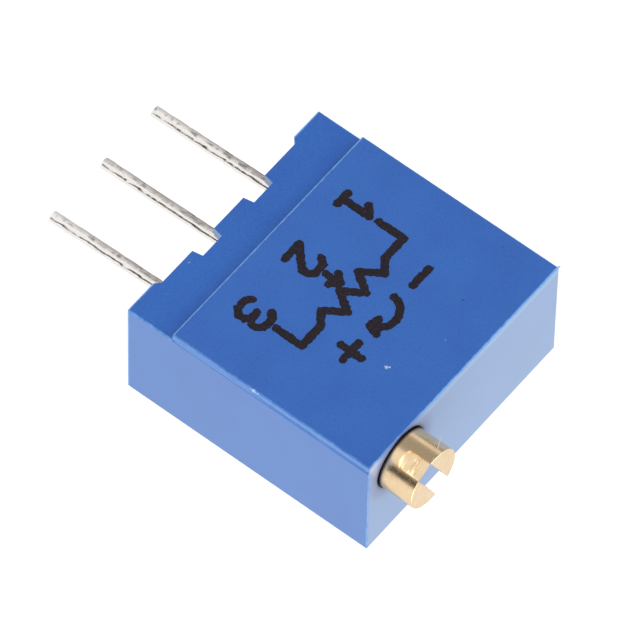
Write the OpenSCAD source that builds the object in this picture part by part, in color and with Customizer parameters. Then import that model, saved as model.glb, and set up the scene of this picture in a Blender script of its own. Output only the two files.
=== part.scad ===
// Square multi-turn trimmer potentiometer for through-hole boards.
// Millimetres. The middle pin's axis meets the board at the origin, +Z points from the board to the
// screw end, the printed face looks towards -Y and the screw is on the +X side.

/* [Body] */
// Width of the body along the row of pins
body_w = 9.53; // [9.3:0.01:10.4]
// Height of the body from the board to the screw end
body_h = 9.53; // [9.4:0.01:10.6]
// Thickness of the body from the printed face to the back
body_t = 4.7; // [4.5:0.01:5.6]
// Thickness of the two side walls
side_wall = 0.6; // [0.5:0.01:0.68]
// Thickness of the wall that carries the printed face
front_wall = 0.7; // [0.65:0.01:0.9]
// Thickness of the back wall
back_wall = 0.45; // [0.35:0.01:0.8]
// Thickness of the wall at the screw end
top_wall = 0.8; // [0.6:0.01:0.95]
// Rounding of the outer edges
edge_r = 0.06; // [0.03:0.01:0.2]

/* [Face and feet] */
// Height above the board at which the printed face steps back
step_z = 1.76; // [1.2:0.01:2.4]
// Depth of the step
step_depth = 0.28; // [0.15:0.01:0.35]
// Inset of the raised face from the body's two sides
face_inset = 0.03; // [0:0.01:0.08]
// Width of a corner foot
foot_w = 1.26; // [0.9:0.01:1.6]
// Height of a foot
foot_h = 0.19; // [0.1:0.01:0.3]
// Width of a wash notch at its mouth
notch_w = 1.08; // [0.7:0.01:1.4]
// Height of a wash notch above the wall's lower edge
notch_h = 0.37; // [0.2:0.01:0.4]
// Slope of a notch's sides, as its loss of half width
notch_slope = 0.07; // [0:0.01:0.15]

/* [Pins] */
// Distance between neighbouring pins
pin_pitch = 2.54; // [2.4:0.01:2.7]
// Diameter of a pin
pin_d = 0.4; // [0.35:0.01:0.5]
// Length of a pin below the board's face
pin_below = 4.82; // [2.5:0.01:8]
// Distance of the pins behind the printed face
pin_setback = 2.15; // [2.1:0.01:2.4]
// Length of the bevel where a pin's end was cropped
pin_crop = 0.14; // [0.05:0.01:0.2]

/* [Screw] */
// Distance of the screw's axis from the near side of the body
screw_side = 1.58; // [1.5:0.01:1.62]
// Diameter of the screw's head
head_d = 2.18; // [1.95:0.01:2.24]
// Length of the head outside the body
head_proud = 1.3; // [0.5:0.01:2.2]
// Width of the driver slot
slot_w = 0.66; // [0.4:0.01:0.8]
// Depth of the driver slot
slot_depth = 0.75; // [0.4:0.01:1]
// Direction of the driver slot at rest, in degrees from +X
slot_turn = 116; // [0:1:180]
// Break of the head's sharp edges
head_edge = 0.06; // [0.02:0.01:0.12]
// Diameter of the screw's journal
journal_d = 1.68; // [1.66:0.01:1.78]

/* [Worm and wheel] */
// Size of the teeth, as the pitch circle's diameter for each tooth
tooth_module = 0.2; // [0.19:0.01:0.2]
// Number of teeth on the wheel
wheel_teeth = 30; // [26:1:31]
// Diameter of the worm's pitch circle
worm_pitch_d = 1.24; // [1.1:0.01:1.24]
// Length of the worm's thread
worm_l = 2.4; // [1.4:0.1:3]
// Width of the wheel
wheel_w = 0.8; // [0.7:0.01:0.9]
// Height of the wheel's axis above the board
wheel_z = 5.2; // [5.1:0.01:5.3]
// Play between a tooth and the thread's groove
backlash = 0.08; // [0.06:0.01:0.12]
// Diameter of the post that the wheel turns on
post_d = 1.4; // [1.1:0.01:1.6]
// Angle taken by the wheel's stop lug, and by the stop in the body
stop_angle = 29; // [20:0.5:29]

/* [Element] */
// Thickness of the ceramic substrate
substrate_t = 0.64; // [0.5:0.01:0.8]
// Thickness of the printed films on it
film_t = 0.03; // [0.01:0.01:0.05]
// Radius of the resistive track's middle line
track_r = 2.4; // [2.2:0.01:2.5]
// Width of the resistive track
track_w = 0.6; // [0.4:0.01:0.7]
// Angle of the gap between the track's ends
track_gap = 50; // [46:1:60]
// Thickness of the contact spring's sheet
spring_t = 0.08; // [0.05:0.01:0.1]
// Number of contact fingers on each track
fingers = 3; // [2:1:4]

/* [Seals] */
// Height above the board at which the resin begins
resin_z = 0.65; // [0.6:0.01:0.75]
// Thickness of the resin
resin_t = 0.4; // [0.3:0.01:0.45]
// Thickness of the plate that keeps the resin out of the mechanism
dam_t = 0.2; // [0.12:0.01:0.25]
// Diameter of the seal ring's cord
seal_d = 0.42; // [0.38:0.01:0.46]

/* [Hidden] */
$fn = 48;

// Clearances and the length by which a cut runs past a face
cut = 0.5;
head_gap = 0.035;
mouth_gap = 0.06;
journal_gap = 0.02;
pilot_gap = 0.02;
post_gap = 0.03;
seat_gap = 0.02;
gear_gap = 0.1;
seal_gap = 0.01;
tip_gap = 0.015;
thread_gap = 0.08;

// Planes of the body
front_y = -pin_setback;
back_y = front_y + body_t;
step_y = front_y + step_depth;
well_front_y = front_y + front_wall;
well_back_y = back_y - back_wall;
well_x = body_w / 2 - side_wall;
well_top_z = body_h - top_wall;

// Screw, from its axis and its shoulders
screw_x = body_w / 2 - screw_side;
screw_y = well_front_y + gear_gap + wheel_w / 2;
head_r = head_d / 2;
head_bore_r = head_r + head_gap;
mouth_r = head_r + mouth_gap;
journal_r = journal_d / 2;
journal_bore_r = journal_r + journal_gap;
bearing_wall = 0.3;
seal_land = 0.25;
seal_cover = 0.5;
groove_play = 0.04;
mouth_land = 0.05;
seal_groove_l = seal_d + 2 * groove_play;
seal_top_z = body_h - seal_cover;
seal_low_z = seal_top_z - seal_groove_l;
shoulder_z = seal_low_z - seal_land;
mouth_z = seal_top_z + mouth_land;
bearing_l = 0.92;
bearing_low_z = shoulder_z - bearing_l;
retainer_t = 0.3;
retainer_z = bearing_low_z + bearing_wall;
retainer_core_r = 0.5;
retainer_leg_gap = 0.03;
retainer_half_w = 1.1;

// Worm and wheel
pressure_angle = 20;
axial_pitch = PI * tooth_module;
addendum = tooth_module;
dedendum_share = 1.25;
dedendum = dedendum_share * tooth_module;
worm_pitch_r = worm_pitch_d / 2;
worm_tip_r = worm_pitch_r + addendum;
worm_root_r = worm_pitch_r - dedendum;
wheel_pitch_r = tooth_module * wheel_teeth / 2;
wheel_tip_r = wheel_pitch_r + addendum;
wheel_root_r = wheel_pitch_r - dedendum;
wheel_base_r = wheel_pitch_r * cos(pressure_angle);
lead_angle = atan(axial_pitch / (PI * worm_pitch_d));
wheel_x = screw_x - worm_pitch_r - wheel_pitch_r;
wheel_front_y = screw_y - wheel_w / 2;
wheel_back_y = screw_y + wheel_w / 2;
tooth_t = (axial_pitch - backlash) / 2;
tooth_half = 90 * tooth_t / (PI * wheel_pitch_r);
thread_steps = 24;
neck_step = 0.08;
thread_sink = 0.03;
thread_fade = 0.3;
post_r = post_d / 2;
wheel_bore_r = post_r + post_gap;
stop_rim = 0.4;
stop_groove_in_r = wheel_bore_r + stop_rim;
stop_groove_out_r = wheel_root_r - stop_rim;
stop_groove_depth = 0.35;
stop_play = 0.08;
rest_turn = 3;

// Pilot at the screw's lower end, and the boss that holds it
pilot_r = 0.35;
pilot_boss_z = 1.34;
pilot_boss_h = 0.9;
pilot_floor = 0.14;
pilot_wall = 0.2;

// Element, from the pins that lie on it
pin_r = pin_d / 2;
blade_spread = 1.15;
blade_press = 0.68;
blade_w = blade_spread * pin_d;
blade_t = blade_press * pin_d;
film_y = pin_r;
substrate_y = film_y + film_t;
substrate_back_y = substrate_y + substrate_t;
substrate_low_z = resin_z + resin_t / 2;
plate_end_gap = 0.1;
plate_side_gap = 0.05;
substrate_top_z = well_top_z - plate_end_gap;
substrate_half_w = well_x - plate_side_gap;
bearing_x = screw_x - head_bore_r - bearing_wall;
bearing_y = screw_y + head_bore_r + bearing_wall;
notch_play = 0.06;
ledge_w = 0.26;
ledge_t = 0.3;
rib_w = 0.5;
rib_x = 2.2;
collector_in_r = 0.85;
collector_out_r = 1.35;
dam_z = resin_z + resin_t;
pad_rise = 0.05;
pad_low_z = dam_z + dam_t + pad_rise;
pad_h = 0.75;
pad_w = 0.9;
trace_w = 0.42;
tail_angle = 7;
pin_end_gap = 0.05;
press_rise = 0.05;
dam_hole_gap = 0.14;
solder_w = 0.22;
solder_end_gap = 0.03;
solder_bulge = 0.08;
pin_top_z = pad_low_z + pad_h - pin_end_gap;
pin_press_z = resin_z + press_rise;
dam_hole_r = pin_r + dam_hole_gap;
solder_r = pin_r + solder_w;
wick_h = 0.16;
wick_w = 0.2;

// Contact spring, from the wheel's back to the films
spring_bore_gap = 0.12;
finger_hinge_w = 0.28;
spring_in_r = wheel_bore_r + spring_bore_gap;
spring_out_r = 1.95;
finger_root_r = spring_out_r - finger_hinge_w;
finger_w = 0.16;
finger_pitch = 0.22;
tip_r = 0.07;
rise = film_y - tip_gap - wheel_back_y;
stake_r = 0.13;
stake_h = 0.1;
stake_at = 1.45;

// Extrudes an outline drawn in X and Y
module along_z(z0, z1) {
    translate([0, 0, z0]) linear_extrude(z1 - z0) children();
}

// Extrudes an outline drawn in X and Z
module along_y(y0, y1) {
    translate([0, y1, 0]) rotate([90, 0, 0]) linear_extrude(y1 - y0) children();
}

// Extrudes an outline drawn in Y and Z
module along_x(x0, x1) {
    translate([x0, 0, 0]) rotate([90, 0, 90]) linear_extrude(x1 - x0) children();
}

// A block between two opposite corners
module block(low, high) {
    translate(low) cube(high - low);
}

// An upright rod or bore on the screw's axis
module on_screw(z0, z1, r) {
    translate([screw_x, screw_y, z0]) cylinder(h = z1 - z0, r = r);
}

// A rod or bore on the wheel's axis
module on_wheel(y0, y1, r) {
    translate([wheel_x, y1, wheel_z]) rotate([90, 0, 0]) cylinder(h = y1 - y0, r = r);
}

// A rectangle with round corners
module rounded_rect(low, high, r) {
    size = high - low;
    translate([low.x + r, low.y]) square([size.x - 2 * r, size.y]);
    translate([low.x, low.y + r]) square([size.x, size.y - 2 * r]);
    for (x = [low.x + r, high.x - r], y = [low.y + r, high.y - r])
        translate([x, y]) circle(r);
}

// Part of a ring between two radii, from angle a0 to a1 in degrees from +X towards +Y
module ring_sector(r_in, r_out, a0, a1) {
    reach = 2 * r_out;
    steps = ceil((a1 - a0) / 60);
    intersection() {
        difference() {
            circle(r_out);
            circle(r_in);
        }
        polygon(concat([[0, 0]], [for (i = [0 : steps])
            let (a = a0 + (a1 - a0) * i / steps) reach * [cos(a), sin(a)]]));
    }
}

// Outer form of the body: a block with a raised printed face that stops short of the feet
module body_form() {
    intersection() {
        union() {
            along_z(0, body_h)
                rounded_rect([-body_w / 2, step_y], [body_w / 2, back_y], edge_r);
            along_z(step_z, body_h)
                rounded_rect([-body_w / 2 + face_inset, front_y],
                    [body_w / 2 - face_inset, step_y + 3 * edge_r], edge_r);
        }
        along_x(-body_w, body_w) {
            rounded_rect([step_y, -body_h], [back_y, body_h], edge_r);
            rounded_rect([front_y, step_z], [back_y, body_h], edge_r);
        }
        along_y(front_y - cut, back_y + cut)
            rounded_rect([-body_w / 2, -body_h], [body_w / 2, body_h], edge_r);
    }
}

// Relief between the corner feet, and the two wash notches between the pins
module underside_cuts() {
    half = body_w / 2 - foot_w;
    along_y(front_y - cut, back_y + cut)
        polygon([[-half, 0], [-half, -cut], [half, -cut], [half, 0],
            [half - foot_h, foot_h], [foot_h - half, foot_h]]);
    notch_top = foot_h + notch_h;
    for (side = [-1, 1])
        translate([side * pin_pitch / 2, 0, 0])
            along_y(front_y - cut, well_front_y + cut)
                polygon([[-notch_w / 2, 0], [notch_w / 2, 0],
                    [notch_w / 2, foot_h],
                    [notch_w / 2 - notch_slope, notch_top],
                    [notch_slope - notch_w / 2, notch_top],
                    [-notch_w / 2, foot_h]]);
}

// Corner block that carries the screw below the end wall, hollowed for the wheel
module bearing_block() {
    difference() {
        block([bearing_x, well_front_y - cut / 2, bearing_low_z],
            [well_x + cut / 2, bearing_y, well_top_z + cut / 2]);
        on_wheel(well_front_y, wheel_back_y + gear_gap, wheel_tip_r + gear_gap);
    }
}

// Boss that steadies the screw's lower end
module pilot_boss() {
    block([screw_x - pilot_r - pilot_gap - pilot_wall, well_front_y - cut / 2, pilot_boss_z],
        [well_x + cut / 2, screw_y + pilot_r + pilot_gap + pilot_wall, pilot_boss_z + pilot_boss_h]);
}

// Grooves that the ceramic slides into: a ledge before it at each side and two ribs behind it
module element_guides() {
    for (side = [0, 1]) mirror([side, 0, 0]) {
        block([well_x - ledge_w, substrate_y - seat_gap - ledge_t, pilot_boss_z],
            [well_x + cut / 2, substrate_y - seat_gap, well_top_z + cut / 2]);
        block([rib_x - rib_w / 2, substrate_back_y + seat_gap, pilot_boss_z],
            [rib_x + rib_w / 2, well_back_y + cut / 2, well_top_z + cut / 2]);
    }
}

// Fixed stop that the wheel's lug meets at both ends of its travel
module body_stop() {
    translate([wheel_x, 0, wheel_z])
        along_y(well_front_y - cut / 2, wheel_front_y + stop_groove_depth - stop_play)
            ring_sector(stop_groove_in_r + stop_play, stop_groove_out_r - stop_play,
                -90 - stop_angle / 2, -90 + stop_angle / 2);
}

module housing() {
    color("royalblue")
    difference() {
        union() {
            difference() {
                body_form();
                block([-well_x, well_front_y, -cut], [well_x, well_back_y, well_top_z]);
            }
            bearing_block();
            pilot_boss();
            element_guides();
            body_stop();
            on_wheel(well_front_y - cut / 2, wheel_back_y + rise / 2, post_r);
        }
        underside_cuts();
        on_screw(shoulder_z - seat_gap, body_h + cut, head_bore_r);
        on_screw(mouth_z, body_h + cut, mouth_r);
        on_screw(bearing_low_z - cut, shoulder_z, journal_bore_r);
        on_screw(pilot_boss_z + pilot_boss_h, bearing_low_z, worm_tip_r + thread_gap);
        on_screw(pilot_boss_z + pilot_floor, body_h, pilot_r + pilot_gap);
        block([screw_x - retainer_half_w - seat_gap, screw_y - journal_r / 2 - seat_gap,
                retainer_z - seat_gap],
            [screw_x + retainer_half_w + seat_gap, bearing_y + cut,
                retainer_z + retainer_t + seat_gap]);
    }
}

// Resin that closes the pin end. It creeps a little way down each pin.
module potting_seal() {
    color("midnightblue")
    difference() {
        union() {
            block([-well_x, well_front_y, resin_z], [well_x, well_back_y, dam_z]);
            for (i = [-1 : 1])
                translate([i * pin_pitch, 0, resin_z - wick_h])
                    cylinder(h = wick_h, r1 = pin_r + seal_gap, r2 = pin_r + wick_w);
        }
        for (i = [-1 : 1]) pin(i);
        substrate_plate();
    }
}

// Thin plate with holes for the pins, which the resin is poured against
module resin_dam() {
    color("lightsteelblue")
    difference() {
        block([-well_x + seat_gap, well_front_y + seat_gap, dam_z],
            [well_x - seat_gap, well_back_y - seat_gap, dam_z + dam_t]);
        for (i = [-1 : 1])
            translate([i * pin_pitch, 0, dam_z - cut]) cylinder(h = dam_t + 2 * cut, r = dam_hole_r);
        substrate_plate();
    }
}

// Outline of the ceramic, with one corner taken out beside the screw's bearing
module substrate_plate() {
    difference() {
        block([-substrate_half_w, substrate_y, substrate_low_z],
            [substrate_half_w, substrate_back_y, substrate_top_z]);
        block([bearing_x - notch_play, substrate_y - cut, bearing_low_z - notch_play],
            [body_w, substrate_back_y + cut, body_h]);
    }
}

module ceramic_substrate() {
    color("ivory") substrate_plate();
}

// A film printed on the ceramic, drawn in X and Z
module film() {
    along_y(film_y, substrate_y) children();
}

// The pad that a pin is soldered to
module pad(i) {
    translate([i * pin_pitch - pad_w / 2, pad_low_z]) square([pad_w, pad_h]);
}

// A printed line of the traces' width between two points, with round ends
module trace(from, to) {
    run = to - from;
    side = trace_w / 2 * [-run.y, run.x] / norm(run);
    polygon([from + side, from - side, to - side, to + side]);
    for (end = [from, to]) translate(end) circle(trace_w / 2);
}

// The C-shaped outline of the resistive track
module track_outline() {
    translate([wheel_x, wheel_z])
        ring_sector(track_r - track_w / 2, track_r + track_w / 2,
            -90 + track_gap / 2, 270 - track_gap / 2);
}

module resistive_track() {
    color("dimgray") film() track_outline();
}

module collector_track() {
    color("silver")
    film() translate([wheel_x, wheel_z]) difference() {
        circle(collector_out_r);
        circle(collector_in_r);
    }
}

// Conductor from one end of the resistive track to an outer pin's pad; side is -1 or 1
module end_conductor(side) {
    tail_a = track_gap / 2 - tail_angle / 2;
    tail = [wheel_x + side * track_r * sin(tail_a), wheel_z - track_r * cos(tail_a)];
    color("silver")
    film() difference() {
        union() {
            pad(side);
            trace(tail, [side * pin_pitch, pad_low_z + pad_h / 2]);
            translate([wheel_x, wheel_z])
                ring_sector(track_r - track_w / 2, track_r + track_w / 2,
                    -90 + side * tail_a - tail_angle, -90 + side * tail_a + tail_angle);
        }
        track_outline();
    }
}

// Conductor from the collector ring, between the track's ends, to the middle pin's pad
module middle_conductor() {
    bend = [wheel_x, wheel_z - track_r - track_w / 2];
    color("silver")
    film() difference() {
        union() {
            pad(0);
            trace(bend, [0, pad_low_z + pad_h / 2]);
            trace([wheel_x, wheel_z - collector_out_r], bend);
        }
        translate([wheel_x, wheel_z]) circle(collector_out_r);
    }
}

// Round stretch of pin i, counted from the middle one, with its lower end cropped to a blunt chisel
module pin_wire(i) {
    half_tip = pin_r / 2;
    intersection() {
        translate([i * pin_pitch, 0, -pin_below]) cylinder(h = pin_below + pin_press_z, r = pin_r);
        translate([i * pin_pitch, 0, 0]) along_y(-pin_r - cut, pin_r + cut)
            polygon([[-half_tip, -pin_below], [half_tip, -pin_below],
                [pin_r, pin_crop - pin_below], [pin_r, pin_press_z],
                [-pin_r, pin_press_z], [-pin_r, pin_crop - pin_below]]);
    }
}

// Upper stretch of pin i, pressed flat where it lies on its pad
module pin_blade(i) {
    block([i * pin_pitch - blade_w / 2, film_y - blade_t, pin_press_z],
        [i * pin_pitch + blade_w / 2, film_y, pin_top_z]);
}

// Tinned copper wire
module pin(i) {
    color("lightgray") {
        pin_wire(i);
        pin_blade(i);
    }
}

// Rounded mound of solder over the pin's end on its pad
module solder_joint(i) {
    mid_z = pad_low_z + pad_h / 2;
    half_l = pad_h / 2 - solder_end_gap;
    color("gainsboro")
    difference() {
        intersection() {
            translate([i * pin_pitch, film_y, mid_z - half_l]) cylinder(h = 2 * half_l, r = solder_r);
            translate([i * pin_pitch, film_y, mid_z]) sphere(r = solder_r + solder_bulge);
            block([i * pin_pitch - pad_w, film_y - pad_w, 0], [i * pin_pitch + pad_w, film_y, body_h]);
        }
        pin_blade(i);
    }
}

// Thread of the worm, swept along its helix and faded in and out at its ends
module worm_thread() {
    turns = worm_l / axial_pitch;
    last = ceil(turns * thread_steps);
    root_half = tooth_t / 2 + dedendum * tan(pressure_angle);
    tip_half = tooth_t / 2 - addendum * tan(pressure_angle);
    sink_r = worm_root_r - thread_sink;
    points = [for (i = [0 : last])
        let (
            turn = turns * i / last,
            angle = 360 * (turn - turns / 2),
            z = axial_pitch * (turn - turns / 2),
            fade = min(1, (min(i, last - i) + 1) / (thread_steps * thread_fade)),
            crest_r = sink_r + (worm_tip_r - sink_r) * fade,
            out = [cos(angle), sin(angle)]
        )
        each [
            [sink_r * out.x, sink_r * out.y, z - root_half],
            [crest_r * out.x, crest_r * out.y, z - root_half + (root_half - tip_half) * fade],
            [crest_r * out.x, crest_r * out.y, z + root_half - (root_half - tip_half) * fade],
            [sink_r * out.x, sink_r * out.y, z + root_half]
        ]];
    walls = [for (i = [0 : last - 1], k = [0 : 3])
        let (a = 4 * i + k, b = 4 * i + (k + 1) % 4, c = b + 4, d = a + 4)
        each [[a, b, c], [a, c, d]]];
    ends = [[3, 2, 1], [3, 1, 0],
        [4 * last, 4 * last + 1, 4 * last + 2], [4 * last, 4 * last + 2, 4 * last + 3]];
    translate([screw_x, screw_y, wheel_z])
        polyhedron(points = points, faces = concat(walls, ends));
}

// Turned brass screw: slotted head, seal groove, journal with the retainer's groove, worm and pilot
module adjustment_screw() {
    head_z = body_h + head_proud;
    seal_core_r = head_bore_r - seal_gap - seal_d;
    neck_r = worm_root_r + neck_step;
    worm_top_z = wheel_z + worm_l / 2 + axial_pitch / 2;
    groove_z = retainer_z - groove_play;
    color("goldenrod")
    difference() {
        union() {
            on_screw(shoulder_z, seal_low_z, head_r);
            on_screw(seal_low_z - cut / 2, seal_top_z + cut / 2, seal_core_r);
            on_screw(seal_top_z, head_z - head_edge, head_r);
            translate([screw_x, screw_y, head_z - head_edge])
                cylinder(h = head_edge, r1 = head_r, r2 = head_r - head_edge);
            on_screw(groove_z + retainer_t + 2 * groove_play, shoulder_z + cut / 2, journal_r);
            on_screw(groove_z - cut / 2, shoulder_z, retainer_core_r);
            on_screw(bearing_low_z, groove_z, journal_r);
            on_screw(worm_top_z, bearing_low_z + cut / 2, neck_r);
            on_screw(pilot_boss_z + pilot_boss_h + seat_gap, bearing_low_z, worm_root_r);
            on_screw(pilot_boss_z + pilot_floor + seat_gap, wheel_z, pilot_r);
            worm_thread();
        }
        translate([screw_x, screw_y, head_z]) rotate([0, 0, slot_turn])
            block([-head_d, -slot_w / 2, -slot_depth], [head_d, slot_w / 2, cut]);
    }
}

module screw_seal() {
    ring_r = head_bore_r - seal_gap - seal_d / 2;
    color("darkslategray")
    translate([screw_x, screw_y, (seal_low_z + seal_top_z) / 2])
        rotate_extrude() translate([ring_r, 0]) circle(d = seal_d);
}

// Forked plate pushed through the bearing block into the journal's groove
module screw_retainer() {
    fork_r = retainer_core_r + retainer_leg_gap;
    color("silver")
    along_z(retainer_z, retainer_z + retainer_t) difference() {
        translate([screw_x - retainer_half_w, screw_y - journal_r / 2])
            square([2 * retainer_half_w, bearing_y - screw_y + journal_r / 2 - seat_gap]);
        translate([screw_x, screw_y]) circle(fork_r);
        translate([screw_x - fork_r, screw_y - head_d]) square([2 * fork_r, head_d]);
    }
}

// Involute function in degrees
function involute(a) = tan(a) * 180 / PI - a;

// Half of the angle that a wheel tooth takes at radius r
function tooth_half_at(r) =
    tooth_half + involute(pressure_angle) - involute(acos(min(1, wheel_base_r / r)));

// Outline of one wheel tooth, pointing along +X, with its root inside the rim
module tooth_outline() {
    flank = [wheel_root_r - thread_sink,
        for (i = [0 : 3]) wheel_base_r + (wheel_tip_r - wheel_base_r) * i / 3];
    side = [for (r = flank) let (a = tooth_half_at(r)) r * [cos(a), sin(a)]];
    polygon(concat(side, [for (i = [len(side) - 1 : -1 : 0]) [side[i].x, -side[i].y]]));
}

// Moulded wheel: teeth inclined to the thread, and a groove with the stop lug in its front
module worm_wheel() {
    lug_a = 90 + rest_turn;
    color("ghostwhite")
    difference() {
        union() {
            on_wheel(wheel_front_y, wheel_back_y, wheel_root_r);
            intersection() {
                on_wheel(wheel_front_y, wheel_back_y, 2 * wheel_pitch_r);
                translate([wheel_x, screw_y, wheel_z])
                    for (k = [0 : wheel_teeth - 1]) rotate([0, 360 * k / wheel_teeth, 0])
                        rotate([-lead_angle, 0, 0])
                            along_y(-wheel_w, wheel_w) tooth_outline();
            }
            at_rest_turn() along_y(wheel_back_y - cut / 2, wheel_back_y + spring_t + stake_h)
                stakes(stake_r);
        }
        on_wheel(wheel_front_y - cut, wheel_back_y + cut, wheel_bore_r);
        translate([wheel_x, 0, wheel_z])
            along_y(wheel_front_y - cut, wheel_front_y + stop_groove_depth)
                ring_sector(stop_groove_in_r, stop_groove_out_r,
                    lug_a + stop_angle / 2, lug_a + 360 - stop_angle / 2);
    }
}

// One finger as a bent strip, drawn by its distance from the wheel's axis and its height
module finger_outline(r0, r1) {
    toward = sign(r1 - r0);
    polygon([[r0, 0], [r1, rise - 2 * tip_r], [r1, rise - 2 * tip_r + spring_t],
        [r0 - toward * spring_t, spring_t], [r0 - toward * spring_t, 0]]);
    translate([r1, rise - tip_r]) circle(tip_r);
}

// Turns what stands on the wheel to where the travel of the screw leaves it at rest
module at_rest_turn() {
    translate([wheel_x, 0, wheel_z]) rotate([0, -rest_turn, 0]) children();
}

// The two rivets of the contact spring, or their holes
module stakes(r) {
    for (side = [-1, 1]) translate([side * stake_at, 0]) circle(r);
}

// Sprung contact staked to the wheel: outer fingers on the resistive track, inner ones on the collector
module contact_spring() {
    span = fingers * finger_pitch;
    inner_tip_r = (collector_in_r + collector_out_r) / 2;
    first = -(fingers - 1) / 2;
    color("gold")
    at_rest_turn() {
        along_y(wheel_back_y, wheel_back_y + spring_t) difference() {
            circle(spring_out_r);
            circle(spring_in_r);
            translate([-span / 2, -finger_root_r])
                square([span, finger_root_r - spring_in_r / 2]);
            stakes(stake_r + seat_gap);
        }
        for (i = [0 : fingers - 1]) {
            x = (first + i) * finger_pitch;
            finger(x, 1, finger_root_r, track_r);
            finger(x, -1, finger_root_r, inner_tip_r);
        }
    }
}

// A finger at x beside the middle, on the upper (1) or lower (-1) half, from radius r0 to r1
module finger(x, half, r0, r1) {
    translate([0, wheel_back_y, 0]) along_x(x - finger_w / 2, x + finger_w / 2)
        finger_section(half, r0, r1);
}

// The finger's section turned so that its height runs along Y and its length along Z
module finger_section(half, r0, r1) {
    mirror([0, half < 0 ? 1 : 0]) mirror([1, -1]) finger_outline(r0, r1);
}

housing();
potting_seal();
resin_dam();
ceramic_substrate();
resistive_track();
collector_track();
end_conductor(-1);  // end_conductor_1
middle_conductor();
end_conductor(1);  // end_conductor_3
pin(-1);  // pin_1
pin(0);  // pin_2
pin(1);  // pin_3
solder_joint(-1);  // solder_joint_1
solder_joint(0);  // solder_joint_2
solder_joint(1);  // solder_joint_3
adjustment_screw();
screw_seal();
screw_retainer();
worm_wheel();
contact_spring();
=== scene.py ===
"""Looks of a square multi-turn trimmer potentiometer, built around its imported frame.

Lengths are millimetres in the part's own frame: the middle pin's axis meets the board at the origin, +Z
points to the screw end and the printed face looks towards -Y. Objects are made in metres.
"""

import logging
import math
from collections.abc import Iterable, Sequence
from dataclasses import dataclass, field
from enum import Enum
from typing import Any, ClassVar

import bmesh
import bpy
import numpy as np
from mathutils import Matrix, Vector


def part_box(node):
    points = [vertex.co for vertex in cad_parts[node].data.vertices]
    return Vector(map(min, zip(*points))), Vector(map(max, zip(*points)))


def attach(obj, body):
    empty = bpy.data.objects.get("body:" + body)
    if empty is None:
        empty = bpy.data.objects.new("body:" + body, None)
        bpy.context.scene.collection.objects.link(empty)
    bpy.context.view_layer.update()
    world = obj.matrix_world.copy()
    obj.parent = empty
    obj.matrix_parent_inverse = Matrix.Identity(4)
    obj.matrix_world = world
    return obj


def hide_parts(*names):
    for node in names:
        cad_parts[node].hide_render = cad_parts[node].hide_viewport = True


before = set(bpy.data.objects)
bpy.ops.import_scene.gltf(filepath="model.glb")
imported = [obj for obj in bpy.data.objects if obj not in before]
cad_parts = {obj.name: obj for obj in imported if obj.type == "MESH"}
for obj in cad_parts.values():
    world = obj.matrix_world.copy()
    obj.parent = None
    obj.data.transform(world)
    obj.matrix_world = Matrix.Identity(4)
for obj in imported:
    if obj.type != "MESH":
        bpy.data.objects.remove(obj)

MM = 0.001
TURN = 2 * math.pi
# A place beyond every piece, for limits that limit nothing
FAR = 100.0
# Most of the noise lies between these two
NOISE_LOW, NOISE_HIGH = 0.3, 0.7
# Over this stretch in from its edge, the ink rises to its full height
FILM_EDGE = (-0.05, 0.07)
WHITE = (1.0, 1.0, 1.0, 1.0)
log = logging.getLogger("trimmer")

Socket = bpy.types.NodeSocket
Rgb = tuple[int, int, int]
Point2 = tuple[float, float]
Point3 = tuple[float, float, float]


class Body(Enum):
    """The bodies that new pieces ride on."""

    BODY = "body"
    SCREW = "screw"


class Slot(Enum):
    """The material slots of the record, and dust, which the record leaves out."""

    HOUSING = "housing_plastic"
    INK = "marking_ink"
    RESIN = "resin"
    DAM = "dam_plastic"
    CERAMIC = "ceramic"
    RESISTIVE = "resistive_film"
    CONDUCTOR = "conductor_film"
    WIRE = "tinned_wire"
    SOLDER = "solder"
    BRASS = "brass"
    RUBBER = "seal_rubber"
    CLIP = "clip_steel"
    WHEEL = "wheel_plastic"
    SPRING = "spring_alloy"
    DUST = "dust"


class Lay(Enum):
    """The direction in which a tool's marks lie on a metal."""

    ROUND_AXIS = "round the piece's own axis"
    ALONG_X = "along X"


def linear(colour: Rgb) -> tuple[float, float, float, float]:
    """Turns a colour as it shows on a screen into the renderer's own values.

    Args:
        colour: Red, green and blue from 0 to 255.

    Returns:
        The colour in linear light, with an alpha of 1.
    """
    shares = np.array(colour) / 255
    values = np.where(shares <= 0.04045, shares / 12.92, ((shares + 0.055) / 1.055) ** 2.4)
    return (float(values[0]), float(values[1]), float(values[2]), 1.0)


def box_mm(node: str) -> tuple[np.ndarray, np.ndarray]:
    """Gives a node's lowest and highest corners in millimetres."""
    low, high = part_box(node)
    return np.array(low) / MM, np.array(high) / MM


def corners_of(node: str) -> tuple[Point3, Point3]:
    """Gives a node's lowest and highest corners in millimetres, as plain numbers."""
    low, high = box_mm(node)
    return tuple(float(x) for x in low), tuple(float(x) for x in high)


def smooth_step(values: np.ndarray | float, start: float, end: float) -> np.ndarray | float:
    """Eases from 0 at start to 1 at end.

    Args:
        values: One number or an array of them.
        start: Where the result is still 0.
        end: Where the result reaches 1.

    Returns:
        The eased share, of the same shape as the values.
    """
    share = np.clip((values - start) / (end - start), 0, 1)
    return share * share * (3 - 2 * share)


def ease(value: float, start: float, end: float) -> float:
    """Eases one number from 0 at start to 1 at end."""
    return float(smooth_step(value, start, end))


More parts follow.
